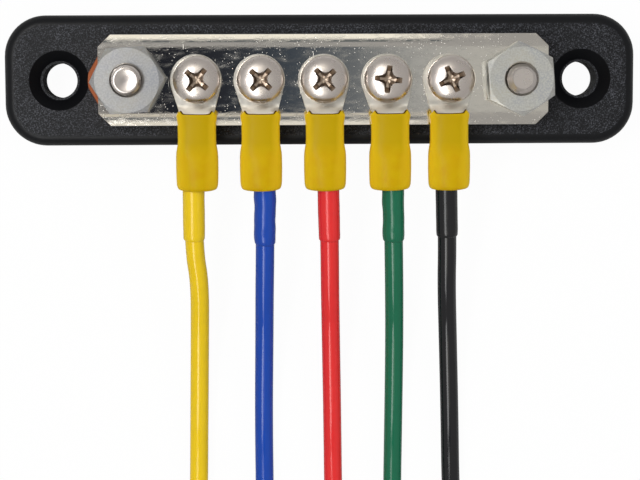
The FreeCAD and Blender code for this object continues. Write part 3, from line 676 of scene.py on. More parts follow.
class MakeStage(bpy.types.Operator):
    """Makes the floor, the lamps, the cards that the metal reflects, and the camera"""

    bl_idname = "bus_bar.make_stage"
    bl_label = "Stage"

    def execute(self, context):
        self.make_floor(context)
        self.make_world(context)
        self.make_lamps(context)
        self.make_cards(context)
        self.make_camera(context)
        context.scene.view_settings.view_transform = "Standard"
        return {"FINISHED"}

    def make_floor(self, context):
        """White paper to the camera, with the object's shadow, and grey to the light it bounces."""
        bm = bmesh.new()
        bmesh.ops.create_grid(bm, x_segments=1, y_segments=1, size=4.0)
        floor = bpy.data.objects.new("floor", mesh_from(bm, "floor"))
        context.collection.objects.link(floor)
        material, tree, shader, _ = start_material("paper_floor", linear("#BCBCBC"), 0.0, 0.9)
        rays = add_node(tree, "ShaderNodeLightPath")
        seen = add_node(
            tree, "ShaderNodeMath", {"operation": "MAXIMUM"},
            {0: rays.outputs["Is Camera Ray"], 1: rays.outputs["Is Transmission Ray"]},
        )
        tone = add_node(
            tree, "ShaderNodeMix", {"data_type": "RGBA", FIRST: linear("#BCBCBC"), SECOND: linear("#F9F9F9")},
            {SHARE: seen.outputs["Value"]},
        )
        tree.links.new(tone.outputs[MIXED], shader.inputs["Base Color"])
        glow_share = add_node(
            tree, "ShaderNodeMath", {"operation": "MULTIPLY", 1: 0.965}, {0: seen.outputs["Value"]},
        )
        white = add_node(tree, "ShaderNodeEmission", {"Color": linear("#FFFFFF"), "Strength": 1.0})
        mixed = add_node(
            tree, "ShaderNodeMixShader", {},
            {0: glow_share.outputs["Value"], 1: shader.outputs["BSDF"], 2: white.outputs["Emission"]},
        )
        tree.links.new(mixed.outputs["Shader"], tree.nodes["Material Output"].inputs["Surface"])
        floor.data.materials.append(material)

    def make_world(self, context):
        """Even white light, a white background, and a dimmer warm room for the metal to reflect."""
        world = bpy.data.worlds.new("studio")
        context.scene.world = world
        world.use_nodes = True
        tree = world.node_tree
        light = tree.nodes["Background"]
        light.inputs["Color"].default_value = (*linear("#FFFFFF"), 1.0)
        light.inputs["Strength"].default_value = 0.44
        way = add_node(tree, "ShaderNodeTexCoord").outputs["Generated"]
        height = add_node(tree, "ShaderNodeSeparateXYZ", {}, {"Vector": way})
        dim = add_node(
            tree, "ShaderNodeMapRange", {"From Min": 0.2, "From Max": 1.0, "To Min": 0.38, "To Max": 0.44},
            {"Value": height.outputs["Z"]},
        )
        room = add_node(
            tree, "ShaderNodeBackground", {"Color": linear("#FFFDFB")}, {"Strength": dim.outputs["Result"]},
        )
        white = add_node(tree, "ShaderNodeBackground", {"Color": linear("#FFFFFF"), "Strength": 1.0})
        rays = add_node(tree, "ShaderNodeLightPath")
        glossy = add_node(
            tree, "ShaderNodeMixShader", {},
            {0: rays.outputs["Is Glossy Ray"], 1: light.outputs["Background"], 2: room.outputs["Background"]},
        )
        mixed = add_node(
            tree, "ShaderNodeMixShader", {},
            {0: rays.outputs["Is Camera Ray"], 1: glossy.outputs["Shader"], 2: white.outputs["Background"]},
        )
        tree.links.new(mixed.outputs["Shader"], tree.nodes["World Output"].inputs["Surface"])

    def make_lamps(self, context):
        """Two long lamps in front and behind, for the bright bands along the bar, and one on each
        side, of which metal shows only the left one."""
        for name, place, aim, size, power, colour, in_metal in (
            ("lamp_far", (-0.27, 0.56, 0.9), (-0.27, 0.0, 0.0), (0.77, 0.32), 0.6, "#FFFAE9", True),
            ("lamp_near", (-0.27, -0.57, 0.9), (-0.27, 0.0, 0.0), (0.77, 0.32), 0.43, "#FFFAE9", True),
            ("lamp_left", (-0.47, 0.14, 0.93), (0.0, 0.0, 0.0), (0.9, 0.2), 4.8, "#FFFFFF", True),
            ("lamp_right", (0.75, 0.0, 0.62), (0.0, 0.0, 0.0), (1.2, 0.35), 2.2, "#FFFFFF", False),
        ):
            lamp = bpy.data.lights.new(name, "AREA")
            lamp.shape = "RECTANGLE"
            lamp.size, lamp.size_y = size
            lamp.energy = power
            lamp.color = linear(colour)
            obj = bpy.data.objects.new(name, lamp)
            obj.location = place
            obj.rotation_euler = (Vector(aim) - Vector(place)).to_track_quat("-Z", "Y").to_euler()
            obj.visible_glossy = in_metal
            context.collection.objects.link(obj)

    def make_cards(self, context):
        """Level cards that only reflections see, each with its tones from left to right."""
        # Overhead, the dark lens and body that the bar mirrors, fading out to the right.
        body = (
            (0.0, "#202229"), (0.17, "#2D3038"), (0.265, "#474F5A"), (0.36, "#73787E"), (0.45, "#B9BAB9"),
            (0.55, "#C9C8C4"), (1.0, "#C2C1BD"),
        )
        self.make_card(context, "lens_card", (0.0625, -0.002, 0.374), (0.275, 0.152), body)
        # The dark frames round the two long lamps, and a pale strip before the near one.
        frame_grey = ((0.0, "#6E7376"), (1.0, "#6E7376"))
        self.make_card(context, "far_line_card", (-0.27, 0.325, 0.9), (0.77, 0.05), frame_grey)
        self.make_card(context, "near_line_card", (-0.27, -0.325, 0.9), (0.77, 0.05), frame_grey)
        pale = ((0.0, "#E2DCCF"), (1.0, "#E2DCCF"))
        self.make_card(context, "pale_card", (-0.27, -0.235, 0.9), (0.77, 0.06), pale)
        # A bright strip in front, for the narrow highlight along each lead.
        white = ((0.0, "#FFFFFF"), (1.0, "#FFFFFF"))
        self.make_card(context, "lead_strip_card", (-0.36, -0.62, 0.93), (0.36, 0.76), white, 4.5)

    def make_card(self, context, name, place, size, tones, strength=1.0):
        """One level card with a glow that follows its tones along X."""
        bm = bmesh.new()
        bmesh.ops.create_grid(bm, x_segments=1, y_segments=1, size=0.5)
        bmesh.ops.scale(bm, vec=(*size, 1.0), verts=bm.verts)
        bmesh.ops.translate(bm, vec=place, verts=bm.verts)
        card = bpy.data.objects.new(name, mesh_from(bm, name))
        context.collection.objects.link(card)
        material = bpy.data.materials.new(name)
        material.use_nodes = True
        tree = material.node_tree
        tree.nodes.remove(tree.nodes["Principled BSDF"])
        spot = add_node(tree, "ShaderNodeTexCoord").outputs["Object"]
        across = add_node(tree, "ShaderNodeSeparateXYZ", {}, {"Vector": spot})
        share = add_node(
            tree, "ShaderNodeMapRange",
            {"From Min": place[0] - size[0] / 2, "From Max": place[0] + size[0] / 2},
            {"Value": across.outputs["X"]},
        )
        ramp = add_node(tree, "ShaderNodeValToRGB", {}, {"Fac": share.outputs["Result"]})
        stops = ramp.color_ramp.elements
        stops.remove(stops[1])
        stops[0].color = (*linear(tones[0][1]), 1.0)
        for position, code in tones[1:]:
            stops.new(position).color = (*linear(code), 1.0)
        glow = add_node(tree, "ShaderNodeEmission", {"Strength": strength}, {"Color": ramp.outputs["Color"]})
        tree.links.new(glow.outputs["Emission"], tree.nodes["Material Output"].inputs["Surface"])
        card.data.materials.append(material)
        card.visible_camera = False
        card.visible_diffuse = False
        card.visible_shadow = False
        card.visible_transmission = False

    def make_camera(self, context):
        """The photograph's view: almost straight down, from 375 mm above the panel."""
        sensor_width = 36.0
        focal_pixels = 1796.1
        picture_pixels = 640.0
        camera = bpy.data.cameras.new("camera")
        camera.sensor_width = sensor_width
        camera.lens = focal_pixels * sensor_width / picture_pixels
        camera.clip_start = 0.01
        camera.clip_end = 20.0
        obj = bpy.data.objects.new("camera", camera)
        turn = (
            Matrix.Rotation(math.radians(-5.0), 4, "X")
            @ Matrix.Rotation(math.radians(-1.538), 4, "Y")
            @ Matrix.Rotation(math.radians(-0.37), 4, "Z")
        )
        obj.matrix_world = Matrix.Translation((-0.01018, -0.00068, 0.375)) @ turn
        context.collection.objects.link(obj)
        context.scene.camera = obj


class MakeLeads(bpy.types.Operator):
    """Makes the five wires, their shrunk collars and the strands at their stripped ends"""

    bl_idname = "bus_bar.make_leads"
    bl_label = "Leads"

    def execute(self, context):
        sizes = context.scene.bus_bar_sizes
        colours = context.scene.bus_bar_colours
        copper = plated_metal("bare_copper_strand", linear("#C9794F"), 0.28, 0.14, 0.6, 0.01)
        for i, name in enumerate(LEAD_COLOURS):
            colour = tuple(getattr(colours, name))
            jacket = glossy_vinyl("wire_insulation_" + name, colour, 0.1, 0.06)
            tube = glossy_vinyl("shrunk_tube_" + name, colour, 0.16, 0.25)
            start = self.collar_start(i)
            end = Vector(COLLAR_ENDS[i])
            strands = self.make_strands(i, name, copper, sizes)
            self.make_wire(i, name, start, end, jacket, strands, sizes)
            self.make_collar(i, name, start, end, tube, sizes)
        return {"FINISHED"}

    def collar_start(self, i):
        """The point behind the barrel where the collar begins, on this lead's turned terminal."""
        start = terminal_place(i) @ barrel_point(i, COLLAR_ALONG)
        return start + Vector((LEAD_SHIFTS[i] * MM, 0.0, 0.0))

    def make_wire(self, i, name, start, end, material, strands, sizes):
        """The insulated wire, from inside its collar to its stripped end."""
        way = (end - start).normalized()
        points = [end - way * COLLAR_SOCKET, end + way * WIRE_OUT] + [Vector(p) for p in WIRE_POINTS[i]]
        curve = bpy.data.curves.new("wire_" + name, "CURVE")
        curve.dimensions = "3D"
        curve.resolution_u = 16
        curve.bevel_depth = sizes.wire_diameter / 2
        curve.bevel_resolution = 12
        curve.use_fill_caps = True
        spline = curve.splines.new("NURBS")
        spline.points.add(len(points) - 1)
        for slot, point in zip(spline.points, points):
            slot.co = (*point, 1.0)
        spline.order_u = 3
        spline.use_endpoint_u = True
        wire = bpy.data.objects.new("wire_" + name + "_insulation", curve)
        curve.materials.append(material)
        bpy.context.collection.objects.link(wire)
        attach(wire, ROOT)
        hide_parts("wire_" + name)

    def make_collar(self, i, name, start, end, material, sizes):
        """A shrunk tube, with small wrinkles, rounded into the wire at its end."""
        way = (end - start).normalized()
        length = (end - start).length
        turn = way.to_track_quat("Z", "Y").to_matrix().to_4x4()
        inner = sizes.wire_diameter / 2 + 0.08 * MM
        outer = 2.25 * MM
        floor = length - COLLAR_SOCKET + 0.1 * MM
        profile = [(0.0, 0.0), (outer - 0.25 * MM, 0.0), (outer, 0.3 * MM)]
        steps = 26
        for k in range(1, steps):
            profile.append((outer, 0.3 * MM + (length - 0.75 * MM) * k / steps))
        profile += [
            (outer - 0.05 * MM, length - 0.28 * MM), (outer - 0.15 * MM, length - 0.08 * MM),
            (outer - 0.24 * MM, length), (inner, length - 0.1 * MM), (inner, floor), (0.0, floor),
        ]
        bm = bmesh.new()
        spun(bm, profile, 48)
        wrinkle = (0.05, 0.16, 0.05, 0.13, 0.03)[i] * MM
        sunk = 0.04 * MM
        for vert in bm.verts:
            radius = math.hypot(vert.co.x, vert.co.y)
            if radius > outer - 0.3 * MM and vert.co.z > 1.5 * MM:
                ripple = noise.noise(Vector((vert.co.x * 260, vert.co.y * 260, vert.co.z * 420 + i * 9.0)))
                fade = min(1.0, vert.co.z / (0.55 * length)) ** 2
                grow = 1.0 + (ripple * wrinkle * fade - sunk) / radius
                vert.co.x *= grow
                vert.co.y *= grow
        bmesh.ops.transform(bm, matrix=Matrix.Translation(start) @ turn, verts=bm.verts)
        mesh = mesh_from(bm, "collar_" + name, 50.0)
        piece("collar_" + name, mesh, [material], ROOT, ["shrink_collar_" + name])

    def make_strands(self, i, name, material, sizes):
        """Nineteen twisted strands that stand out of the wire's stripped end."""
        end = Vector(WIRE_POINTS[i][-1])
        way = (end - Vector(WIRE_POINTS[i][-2])).normalized()
        turn = way.to_track_quat("Z", "Y").to_matrix().to_4x4()
        radius = sizes.strand_diameter / 2
        length = 8.0 * MM
        inset = 2.0 * MM
        twist = math.radians(110)
        steps = 12
        bm = bmesh.new()
        for ring, count in ((0, 1), (1, 6), (2, 12)):
            for k in range(count):
                angle = math.tau * k / count + 0.2 * ring
                out = ring * sizes.strand_diameter * 0.98
                matrix = Matrix.Rotation(angle, 4, "Z") @ Matrix.Translation((out, 0.0, -inset))
                made = bmesh.ops.create_circle(bm, cap_ends=True, segments=8, radius=radius, matrix=matrix)
                faces = list({face for vert in made["verts"] for face in vert.link_faces})
                trim = 0.25 * MM * ((k * 7) % 5) / 5
                bmesh.ops.spin(
                    bm, geom=faces, cent=(0, 0, 0), axis=(0, 0, 1),
                    dvec=(0, 0, (length + inset - trim) / steps), angle=twist, steps=steps,
                    use_merge=False,
                )
        bmesh.ops.transform(bm, matrix=Matrix.Translation(end) @ turn, verts=bm.verts)
        mesh = mesh_from(bm, "strands_" + name, 50.0)
        return piece(
            "strands_" + name + "_bundle", mesh, [material], ROOT, ["strands_" + name],
        )


class MakeBase(bpy.types.Operator):
    """Finishes the moulded base"""

    bl_idname = "bus_bar.make_base"
    bl_label = "Base"

    def execute(self, context):
        colour = tuple(context.scene.bus_bar_colours.base)
        nylon = moulded_nylon("moulded_nylon", colour, 0.22)
        # The countersinks' nylon: smoother, with less shine, and 0.7 times as dark, which is painted shade in
        # the hollows.
        polished_and_shaded = moulded_nylon("moulded_nylon_polished", toned(colour, (0.7, 0.7, 0.7)), 0.14)
        high = BASE_HIGH.z
        blank = mesh_from(cad_copy("base", joined=False), "base_blank")
        mesh = mesh_from(cut_away(blank, self.mount_cutters(high)), "base", 30.0)
        # The countersinks' slopes, the faces near the mounting holes, take the smoother copy of the nylon,
        # darkened with painted shade.
        for face in mesh.polygons:
            if abs(face.normal.z) > 0.9999:
                face.use_smooth = False
            elif 0.3 < face.normal.z < 0.9 and face.center.z > high - 3.0 * MM:
                spans = [math.hypot(face.center.x - x, face.center.y) for x in MOUNT_XS]
                face.material_index = 1 if min(spans) < 6.2 * MM else 0
        piece("base_moulding", mesh, [nylon, polished_and_shaded], ROOT, ["base"])
        return {"FINISHED"}

    def mount_cutters(self, high):
        """Rounder mounting holes and countersinks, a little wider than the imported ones."""
        hole = 3.51 * MM
        bottom, top = 3.96 * MM, 7.06 * MM
        depth, above = 3.1 * MM, 1.0 * MM
        cutters = []
        for x in MOUNT_XS:
            cutters.append(rod(hole, -MM, high, x, 128))
            bm = bmesh.new()
            bmesh.ops.create_cone(
                bm, cap_ends=True, segments=128, radius1=bottom, radius2=top, depth=depth,
                matrix=Matrix.Translation((x, 0.0, high + above - depth / 2)),
            )
            cutters.append(bm)
        return cutters


class MakeBar(bpy.types.Operator):
    """Finishes the tinned copper bar"""

    bl_idname = "bus_bar.make_bar"
    bl_label = "Bar"

    def execute(self, context):
        half_width = (BAR_HIGH.y - BAR_LOW.y) / 2
        bm = bmesh.new()
        face = bm.faces.new([bm.verts.new((BAR_LOW.x, y, z)) for y, z in self.section(half_width)])
        extruded(bm, [face], (BAR_HIGH.x - BAR_LOW.x, 0.0, 0.0))
        self.cut_corners(bm, half_width)
        low, high = BAR_LOW.z - MM, BAR_HIGH.z + MM
        holes = [rod(3.2 * MM, low, high, x, 64) for x in STUD_XS.values()]
        holes += [rod(2.5 * MM, low, high, x, 48) for x in SCREW_XS]
        bm = cut_away(mesh_from(bm, "bar_blank"), holes)
        for face in bm.faces:
            if abs(face.normal.x) > 0.5:
                face.material_index = 1
        bar = piece(
            "tinned_bar", mesh_from(bm, "bar", 20.0), [bright_tin_plate(), sheared_copper()], ROOT,
            ["bar"],
        )
        soften(bar, context.scene.bus_bar_sizes.edge_break, 30.0)
        return {"FINISHED"}

    def section(self, half_width):
        """The bar's section: flat in the middle, with its long edges eased in an arc."""
        flat = 5.3 * MM
        drop = 0.5 * MM
        steps = 12
        radius = ((half_width - flat) ** 2 + drop**2) / (2 * drop)
        quarter = []
        for k in range(steps + 1):
            out = (half_width - flat) * k / steps
            quarter.append((flat + out, radius - math.sqrt(radius**2 - out**2)))
        outline = [(y, BAR_HIGH.z - fall) for y, fall in quarter]
        outline += [(y, BAR_LOW.z + fall) for y, fall in reversed(quarter)]
        outline += [(-y, BAR_LOW.z + fall) for y, fall in quarter]
        outline += [(-y, BAR_HIGH.z - fall) for y, fall in reversed(quarter)]
        return outline

    def cut_corners(self, bm, half_width):
        """Cuts the bar's four corners off at 45 degrees."""
        reach = 2.5 * MM
        for side_x, end in ((-1, BAR_LOW.x), (1, BAR_HIGH.x)):
            for side_y in (-1, 1):
                cut = bmesh.ops.bisect_plane(
                    bm, geom=[*bm.verts, *bm.edges, *bm.faces],
                    plane_co=(end - side_x * reach, side_y * half_width, 0.0),
                    plane_no=(side_x, side_y, 0.0), clear_outer=True, dist=0.0001 * MM,
                )
                edges = [item for item in cut["geom_cut"] if isinstance(item, bmesh.types.BMEdge)]
                bmesh.ops.holes_fill(bm, edges=edges, sides=0)


class MakeStuds(bpy.types.Operator):
    """Finishes the studs, their seat plates and their nuts"""

    bl_idname = "bus_bar.make_studs"
    bl_label = "Studs and nuts"

    def execute(self, context):
        sizes = context.scene.bus_bar_sizes
        # The left nut is the greyer one, and its stud ends with the smaller chamfer.
        for side, nut_code, chamfer in (("left", "#C2C2C1", 0.35 * MM), ("right", "#D4D4CF", 1.0 * MM)):
            x = STUD_XS[side]
            steel = plated_metal("stud_plate_" + side, linear("#DAD2CC"), 0.26, 0.06, 2.5, 0.02)
            zinc = zinc_plate("nut_zinc_" + side, x, linear(nut_code), 0.3)
            copper = plated_metal("seat_copper_" + side, linear("#91553A"), 0.45, 0.15, 1.2, 0.02)
            self.make_stud(side, x, chamfer, steel, sizes)
            nut_mesh = mesh_from(cad_copy("stud_nut_" + side), "nut_" + side, 18.0)
            nut = piece(
                "hex_nut_" + side, nut_mesh, [zinc], "nut_" + side, ["stud_nut_" + side],
            )
            soften(nut, sizes.edge_break)
            seat_mesh = mesh_from(cad_copy("seat_plate_" + side), "seat_" + side, 30.0)
            seat = piece("seat_" + side, seat_mesh, [copper], ROOT, ["seat_plate_" + side])
            soften(seat, sizes.edge_break)
        return {"FINISHED"}

    def make_stud(self, side, x, chamfer, material, sizes):
        """The part's own head and shank up to the bar's top, and a thread with a chamfered end."""
        bm = cad_copy("stud_" + side)
        bmesh.ops.translate(bm, vec=(-x, 0.0, 0.0), verts=bm.verts)
        cut = bmesh.ops.bisect_plane(
            bm, geom=[*bm.verts, *bm.edges, *bm.faces], plane_co=(0, 0, BAR_HIGH.z),
            plane_no=(0, 0, 1), clear_outer=True,
        )
        rim = [item for item in cut["geom_cut"] if isinstance(item, bmesh.types.BMEdge)]
        bmesh.ops.holes_fill(bm, edges=rim, sides=0)
        major, minor = 2.98 * MM, 2.45 * MM
        thread_into(bm, BAR_HIGH.z - 0.5 * MM, STUD_HIGH.z, major, minor, sizes.stud_pitch, 40)
        shoulder = STUD_HIGH.z - chamfer
        for vert in bm.verts:
            limit = major - max(0.0, vert.co.z - shoulder)
            radius = math.hypot(vert.co.x, vert.co.y)
            if vert.co.z > shoulder and radius > limit:
                vert.co.x *= limit / radius
                vert.co.y *= limit / radius
        if side == "left":
            self.dish_end(bm)
        bmesh.ops.translate(bm, vec=(x, 0.0, 0.0), verts=bm.verts)
        mesh = mesh_from(bm, "stud_" + side, 30.0)
        piece("threaded_stud_" + side, mesh, [material], ROOT, ["stud_" + side])

    def dish_end(self, bm):
        """Gives the stud a turned end with a shallow dish, which catches the light on its left."""
        top = STUD_HIGH.z
        for vert in bm.verts:
            vert.co.z = min(vert.co.z, top - 0.35 * MM)
        # Out from the axis and down from the top, in mm: a plug's foot, its rim, and the dish.
        profile = (
            (0.0, 0.6), (2.62, 0.6), (2.58, 0.2), (2.46, 0.06), (2.28, 0.0), (2.1, 0.02), (1.8, 0.09),
            (1.5, 0.16), (1.2, 0.22), (0.9, 0.265), (0.6, 0.3), (0.3, 0.32), (0.0, 0.325),
        )
        spun(bm, [(out * MM, top - fall * MM) for out, fall in profile], 64)


class MakeScrews(bpy.types.Operator):
    """Finishes the terminal screws and their lock washers"""

    bl_idname = "bus_bar.make_screws"
    bl_label = "Terminal screws"

    # The pan head's radius, and the height of its straight rim under the dome.
    head_radius = 4.8 * MM
    rim_height = 0.45 * MM

    def execute(self, context):
        sizes = context.scene.bus_bar_sizes
        nickel = plated_metal("bright_nickel_plate", linear("#E8DFD8"), 0.25, 0.08, 1.8, 0.02)
        recess = nickel_in_recess()
        spring = plated_metal("spring_steel", linear("#55504B"), 0.42, 0.15, 0.8, 0.03)
        major, minor = 2.44 * MM, 1.98 * MM
        head = self.head_mesh()
        for i, x in enumerate(SCREW_XS):
            number = str(i + 1)
            bm = bmesh.new()
            bm.from_mesh(head)
            thread_into(bm, SCREW_LOW.z, WASHER_HIGH.z + 0.1 * MM, major, minor, sizes.screw_pitch, 28)
            turn = Matrix.Rotation(math.radians(SCREW_TURNS[i]), 4, "Z")
            bmesh.ops.transform(bm, matrix=Matrix.Translation((x, 0.0, 0.0)) @ turn, verts=bm.verts)
            mesh = mesh_from(bm, "screw_" + number, 28.0)
            piece(
                "pan_head_screw_" + number, mesh, [nickel, recess], "screw_" + number,
                ["terminal_screw_" + number],
            )
            self.make_washer(i, x, spring, sizes)
        bpy.data.meshes.remove(head)
        return {"FINISHED"}

    def head_mesh(self):
        """The pan head with its cross recess, upright over the origin."""
        low, high = WASHER_HIGH.z, SCREW_HIGH.z
        out, rim = self.head_radius, self.rim_height
        points = [(0.0, low), (out - 0.25 * MM, low), (out - 0.1 * MM, low + 0.1 * MM), (out, low + rim)]
        steps = 24
        for k in range(1, steps + 1):
            angle = math.radians(90.0 * k / steps)
            height = low + rim + (high - low - rim) * math.sin(angle)
            points.append((max(0.0, out * math.cos(angle)), height))
        bm = bmesh.new()
        spun(bm, points, 112)
        bm = cut_away(mesh_from(bm, "head_solid"), [self.recess_cutter(high)])
        for face in bm.faces:
            middle = face.calc_center_median()
            near_axis = math.hypot(middle.x, middle.y) < 3.1 * MM
            if near_axis and middle.z > low + 0.2 * MM and self.under_dome(middle, high):
                face.material_index = 1
        # The recess's upper edge is rounded, as it is in a pressed head.
        edge = [
            e for e in bm.edges
            if e.is_manifold
            and e.calc_face_angle(0.0) > math.radians(40)
            and all(v.co.z > high - 0.55 * MM for v in e.verts)
        ]
        bmesh.ops.bevel(
            bm, geom=edge, offset=0.08 * MM, offset_type="OFFSET", affect="EDGES", segments=2, profile=0.5,
            material=-1, clamp_overlap=True,
        )
        return mesh_from(bm, "head", 30.0)

    def under_dome(self, point, high):
        """Whether a point lies below the head's domed top, and so inside the recess."""
        across = math.hypot(point.x, point.y) / self.head_radius
        rise = high - WASHER_HIGH.z - self.rim_height
        return point.z < high - rise * (1.0 - math.sqrt(1.0 - across**2)) - 0.03 * MM

    def recess_cutter(self, high):
        """The driver's bit: four wings that narrow downwards, round a core."""
        # A quarter of its outline, in mm.
        wing = (
            (3.0, -0.57), (3.0, 0.57), (1.75, 0.62), (1.3, 0.76), (0.95, 0.95), (0.76, 1.3), (0.62, 1.75),
        )
        bm = bmesh.new()
        verts = []
        for k in range(4):
            turn = Matrix.Rotation(math.radians(90 * k), 3, "Z")
            verts += [bm.verts.new(turn @ Vector((x, y, 0.0)) * MM) for x, y in wing]
        upper = bm.faces.new(verts)
        bmesh.ops.translate(bm, verts=bm.verts, vec=(0.0, 0.0, high + 0.02 * MM))
        face = upper
        for depth, scale in ((0.25, 0.97), (1.7, 0.56), (0.25, 0.25)):
            lower = extruded(bm, [face], (0.0, 0.0, -depth * MM))
            bmesh.ops.scale(bm, vec=(scale, scale, 1.0), verts=lower)
            if face is not upper:
                bmesh.ops.delete(bm, geom=[face], context="FACES_ONLY")
            face = [f for f in bm.faces if all(v in lower for v in f.verts)][0]
        return bm

    def make_washer(self, i, x, material, sizes):
        """A spring washer, split and slightly sprung."""
        number = str(i + 1)
        inner, outer = 2.55 * MM, 4.6 * MM
        sprung = 0.14 * MM
        low, high = WASHER_LOW.z, WASHER_HIGH.z - sprung
        steps = 60
        gap = 12.0
        bm = bmesh.new()
        corners = ((inner, low), (outer, low), (outer, high), (inner, high))
        face = bm.faces.new([bm.verts.new((r, 0.0, z)) for r, z in corners])
        bmesh.ops.spin(
            bm, geom=[face], cent=(0, 0, 0), axis=(0, 0, 1), dvec=(0, 0, sprung / steps),
            angle=math.radians(360.0 - gap), steps=steps, use_merge=False,
        )
        turn = Matrix.Rotation(math.radians(WASHER_TURNS[i] + gap / 2), 4, "Z")
        bmesh.ops.transform(bm, matrix=Matrix.Translation((x, 0.0, 0.0)) @ turn, verts=bm.verts)
        mesh = mesh_from(bm, "washer_" + number, 35.0)
        washer = piece(
            "split_washer_" + number, mesh, [material], "washer_" + number,
            ["lock_washer_" + number],
        )
        soften(washer, sizes.edge_break)


class MakeTerminals(bpy.types.Operator):
    """Makes the ring terminals and their vinyl sleeves"""

    bl_idname = "bus_bar.make_terminals"
    bl_label = "Ring terminals"

    def execute(self, context):
        tin = plated_metal("satin_tin_plate", linear("#E6E2D8"), 0.3, 0.12, 1.4, 0.04)
        colour = tuple(context.scene.bus_bar_colours.sleeve)
        vinyl = soft_vinyl("soft_vinyl", colour)
        # The cut rim of the sleeve's mouth lies in its own shade.
        cut_end = soft_vinyl("soft_vinyl_cut_end", toned(colour, (0.16, 0.12, 0.35)))
        for i in range(len(SCREW_XS)):
            self.make_ring(i, tin, context.scene.bus_bar_sizes)
            self.make_sleeve(i, vinyl, cut_end)
        return {"FINISHED"}

    def make_ring(self, i, material, sizes):
        """A stamped ring whose neck rises and curls up into the barrel inside the sleeve."""
        number = str(i + 1)
        # In mm: the ring's and its hole's radius, the plate, and half the neck at its end.
        outer, hole, thick, half_neck = 5.15, 2.8, 1.0, 3.05
        neck_end, root_end = -8.1, -9.3
        shift = BARREL_SHIFTS[i]
        right = Vector((half_neck + shift, neck_end))
        left = Vector((-half_neck + shift, neck_end))
        first = math.atan2(right.y, right.x) + math.acos(outer / right.length)
        last = math.atan2(left.y, left.x) - math.acos(outer / left.length) + math.tau
        steps = 96
        arc = [first + (last - first) * k / steps for k in range(steps + 1)]
        outline = [(outer * math.cos(a), outer * math.sin(a)) for a in arc]
        outline += [tuple(left), (left.x, root_end), (right.x, root_end), tuple(right)]
        bm = bmesh.new()
        face = bm.faces.new([bm.verts.new((x * MM, y * MM, 0.0)) for x, y in outline])
        extruded(bm, [face], (0.0, 0.0, thick * MM))
        bm = cut_away(mesh_from(bm, "ring_blank"), [rod(hole * MM, -MM, 2 * MM, 0.0, 72)])
        # Cuts across and along the neck give it the points that its curve needs.
        cuts = [((0.0, -4.5 - 0.3 * k, 0.0), (0, 1, 0)) for k in range(16)]
        cuts += [((0.5 * k, 0.0, 0.0), (1, 0, 0)) for k in range(-6, 7)]
        for place, way in cuts:
            part = [f for f in bm.faces if way[1] or min(v.co.y for v in f.verts) < -4.6 * MM]
            geometry = {item for f in part for item in (f, *f.edges, *f.verts)}
            bmesh.ops.bisect_plane(
                bm, geom=list(geometry), plane_co=Vector(place) * MM, plane_no=way, dist=0.001 * MM,
            )
        for vert in bm.verts:
            x, y = vert.co.x / MM, vert.co.y / MM
            along = min(1.0, max(0.0, (-y - 4.7) / 3.4))
            ease = along * along * (3 - 2 * along)
            curl = 0.4 * ease * (abs(x - shift * ease) / half_neck) ** 3
            vert.co.z += (0.95 * ease + curl) * MM
        self.add_barrel(bm, i)
        bmesh.ops.transform(bm, matrix=terminal_place(i), verts=bm.verts)
        mesh = mesh_from(bm, "ring_" + number, 40.0)
        ring = piece(
            "ring_tongue_" + number, mesh, [material], ROOT, ["ring_terminal_" + number],
        )
        soften(ring, sizes.edge_break, 50.0)

    def add_barrel(self, bm, i):
        """The oval barrel that the sleeve covers."""
        start, length = 2.6 * MM, 7.2 * MM
        half_width, half_height = 3.0 * MM, 1.7 * MM
        turn = BARREL_WAY.to_track_quat("Z", "Y").to_matrix().to_4x4()
        middle = barrel_point(i, start + length / 2)
        bmesh.ops.create_cone(
            bm, cap_ends=True, segments=48, radius1=1.0, radius2=1.0, depth=length,
            matrix=Matrix.Translation(middle) @ turn @ Matrix.Diagonal((half_width, half_height, 1.0, 1.0)),
        )

    def mouth(self, share):
        """How far back the sleeve's mouth is cut, from its middle (0) to its sides (1), in mm."""
        stops = ((0.0, 0.85), (0.7, 0.85), (0.81, 0.2), (1.0, 1.25))
        for (start, first), (end, second) in zip(stops, stops[1:]):
            if share <= end:
                return first + (second - first) * (share - start) / (end - start)
        return stops[-1][1]

    def make_sleeve(self, i, material, cut_end):
        """A vinyl sleeve, squeezed over the barrel and open behind it, with a scooped mouth."""
        number = str(i + 1)
        # Along the barrel, half the width and half the height, in mm: the outside from the
        # mouth to the back, and then the inside from the back to the mouth.
        outside = (
            (0.0, 3.84, 2.46), (0.17, 3.99, 2.62), (0.35, 4.05, 2.7), (0.8, 4.05, 2.7), (1.4, 4.0, 2.65),
            (2.0, 3.91, 2.57), (2.7, 3.84, 2.51), (4.5, 3.82, 2.5), (6.6, 3.82, 2.5), (7.5, 3.88, 2.6),
            (8.3, 4.03, 2.85), (9.1, 4.16, 3.07), (10.0, 4.23, 3.18), (12.5, 4.25, 3.2), (15.0, 4.2, 3.18),
            (15.8, 4.14, 3.1), (16.25, 4.02, 2.98), (16.5, 3.88, 2.83), (16.62, 3.72, 2.66),
        )
        inside = (
            (16.55, 3.62, 2.58), (15.5, 3.62, 2.58), (11.0, 3.6, 2.56), (9.0, 3.4, 2.2), (6.0, 3.2, 1.9),
            (3.0, 3.2, 1.9), (0.6, 3.45, 2.1), (0.05, 3.66, 2.3),
        )
        bm = bmesh.new()
        rings = []
        for along, half_width, half_height in outside + inside:
            made = bmesh.ops.create_circle(bm, cap_ends=False, segments=72, radius=1.0)
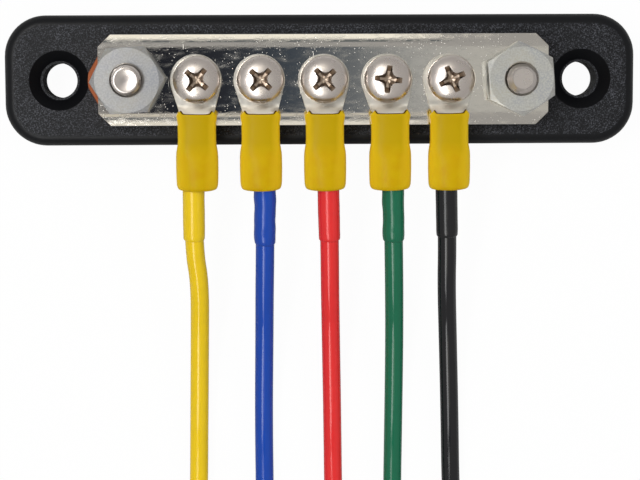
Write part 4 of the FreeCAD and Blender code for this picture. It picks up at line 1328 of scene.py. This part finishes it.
            # Squarer where the crimp tool squeezed it, and round behind.
            squeeze = 1.0 - min(1.0, max(0.0, (along - 8.4) / 2.0))
            power = 2.0 / (2.0 + 0.7 * squeeze)
            scooped = max(0.0, 1.0 - along / 6.0) ** 1.5
            for vert in made["verts"]:
                angle = math.atan2(vert.co.y, vert.co.x)
                x = math.copysign(abs(math.cos(angle)) ** power, math.cos(angle)) * half_width
                h = math.copysign(abs(math.sin(angle)) ** power, math.sin(angle)) * half_height
                back = along + self.mouth(abs(x) / half_width) * scooped
                vert.co = barrel_point(i, back * MM) + (BARREL_UP * h + Vector((x, 0.0, 0.0))) * MM
            rings.append([e for e in bm.edges if e.verts[0] in made["verts"] and e.verts[1] in made["verts"]])
        for k, (first, second) in enumerate(zip(rings, rings[1:] + rings[:1])):
            made = bmesh.ops.bridge_loops(bm, edges=first + second)
            at_mouth = k in (0, len(rings) - 1)
            for face in made["faces"]:
                across = abs(face.calc_center_median().x / MM - BARREL_SHIFTS[i])
                face.material_index = 1 if at_mouth and across < 3.2 else 0
        bmesh.ops.transform(bm, matrix=terminal_place(i), verts=bm.verts)
        mesh = mesh_from(bm, "sleeve_" + number, 60.0)
        piece(
            "vinyl_sleeve_" + number, mesh, [material, cut_end], ROOT,
            ["crimp_sleeve_" + number],
        )


class BusBarPanel(bpy.types.Panel):
    """Lists the steps that make the bus bar"""

    bl_idname = "VIEW3D_PT_bus_bar"
    bl_label = "Bus bar"
    bl_space_type = "VIEW_3D"
    bl_region_type = "UI"
    bl_category = "Bus bar"

    def draw(self, context):
        for group in (context.scene.bus_bar_sizes, context.scene.bus_bar_colours):
            column = self.layout.column(align=True)
            for name in group.__annotations__:
                column.prop(group, name)
        for step in STEPS:
            self.layout.operator(step.bl_idname)


STEPS = (MakeStage, MakeLeads, MakeBase, MakeBar, MakeStuds, MakeScrews, MakeTerminals)
CLASSES = (BusBarSizes, BusBarColours) + STEPS + (BusBarPanel,)


def register():
    """Adds the classes and hangs the sizes and colours on the scene."""
    for cls in CLASSES:
        bpy.utils.register_class(cls)
    bpy.types.Scene.bus_bar_sizes = PointerProperty(type=BusBarSizes)
    bpy.types.Scene.bus_bar_colours = PointerProperty(type=BusBarColours)


def unregister():
    """Takes off what register added."""
    del bpy.types.Scene.bus_bar_colours
    del bpy.types.Scene.bus_bar_sizes
    for cls in reversed(CLASSES):
        bpy.utils.unregister_class(cls)


def main():
    register()
    bpy.ops.bus_bar.make_stage()
    bpy.ops.bus_bar.make_leads()
    bpy.ops.bus_bar.make_base()
    bpy.ops.bus_bar.make_bar()
    bpy.ops.bus_bar.make_studs()
    bpy.ops.bus_bar.make_screws()
    bpy.ops.bus_bar.make_terminals()


if __name__ == "__main__":
    main()
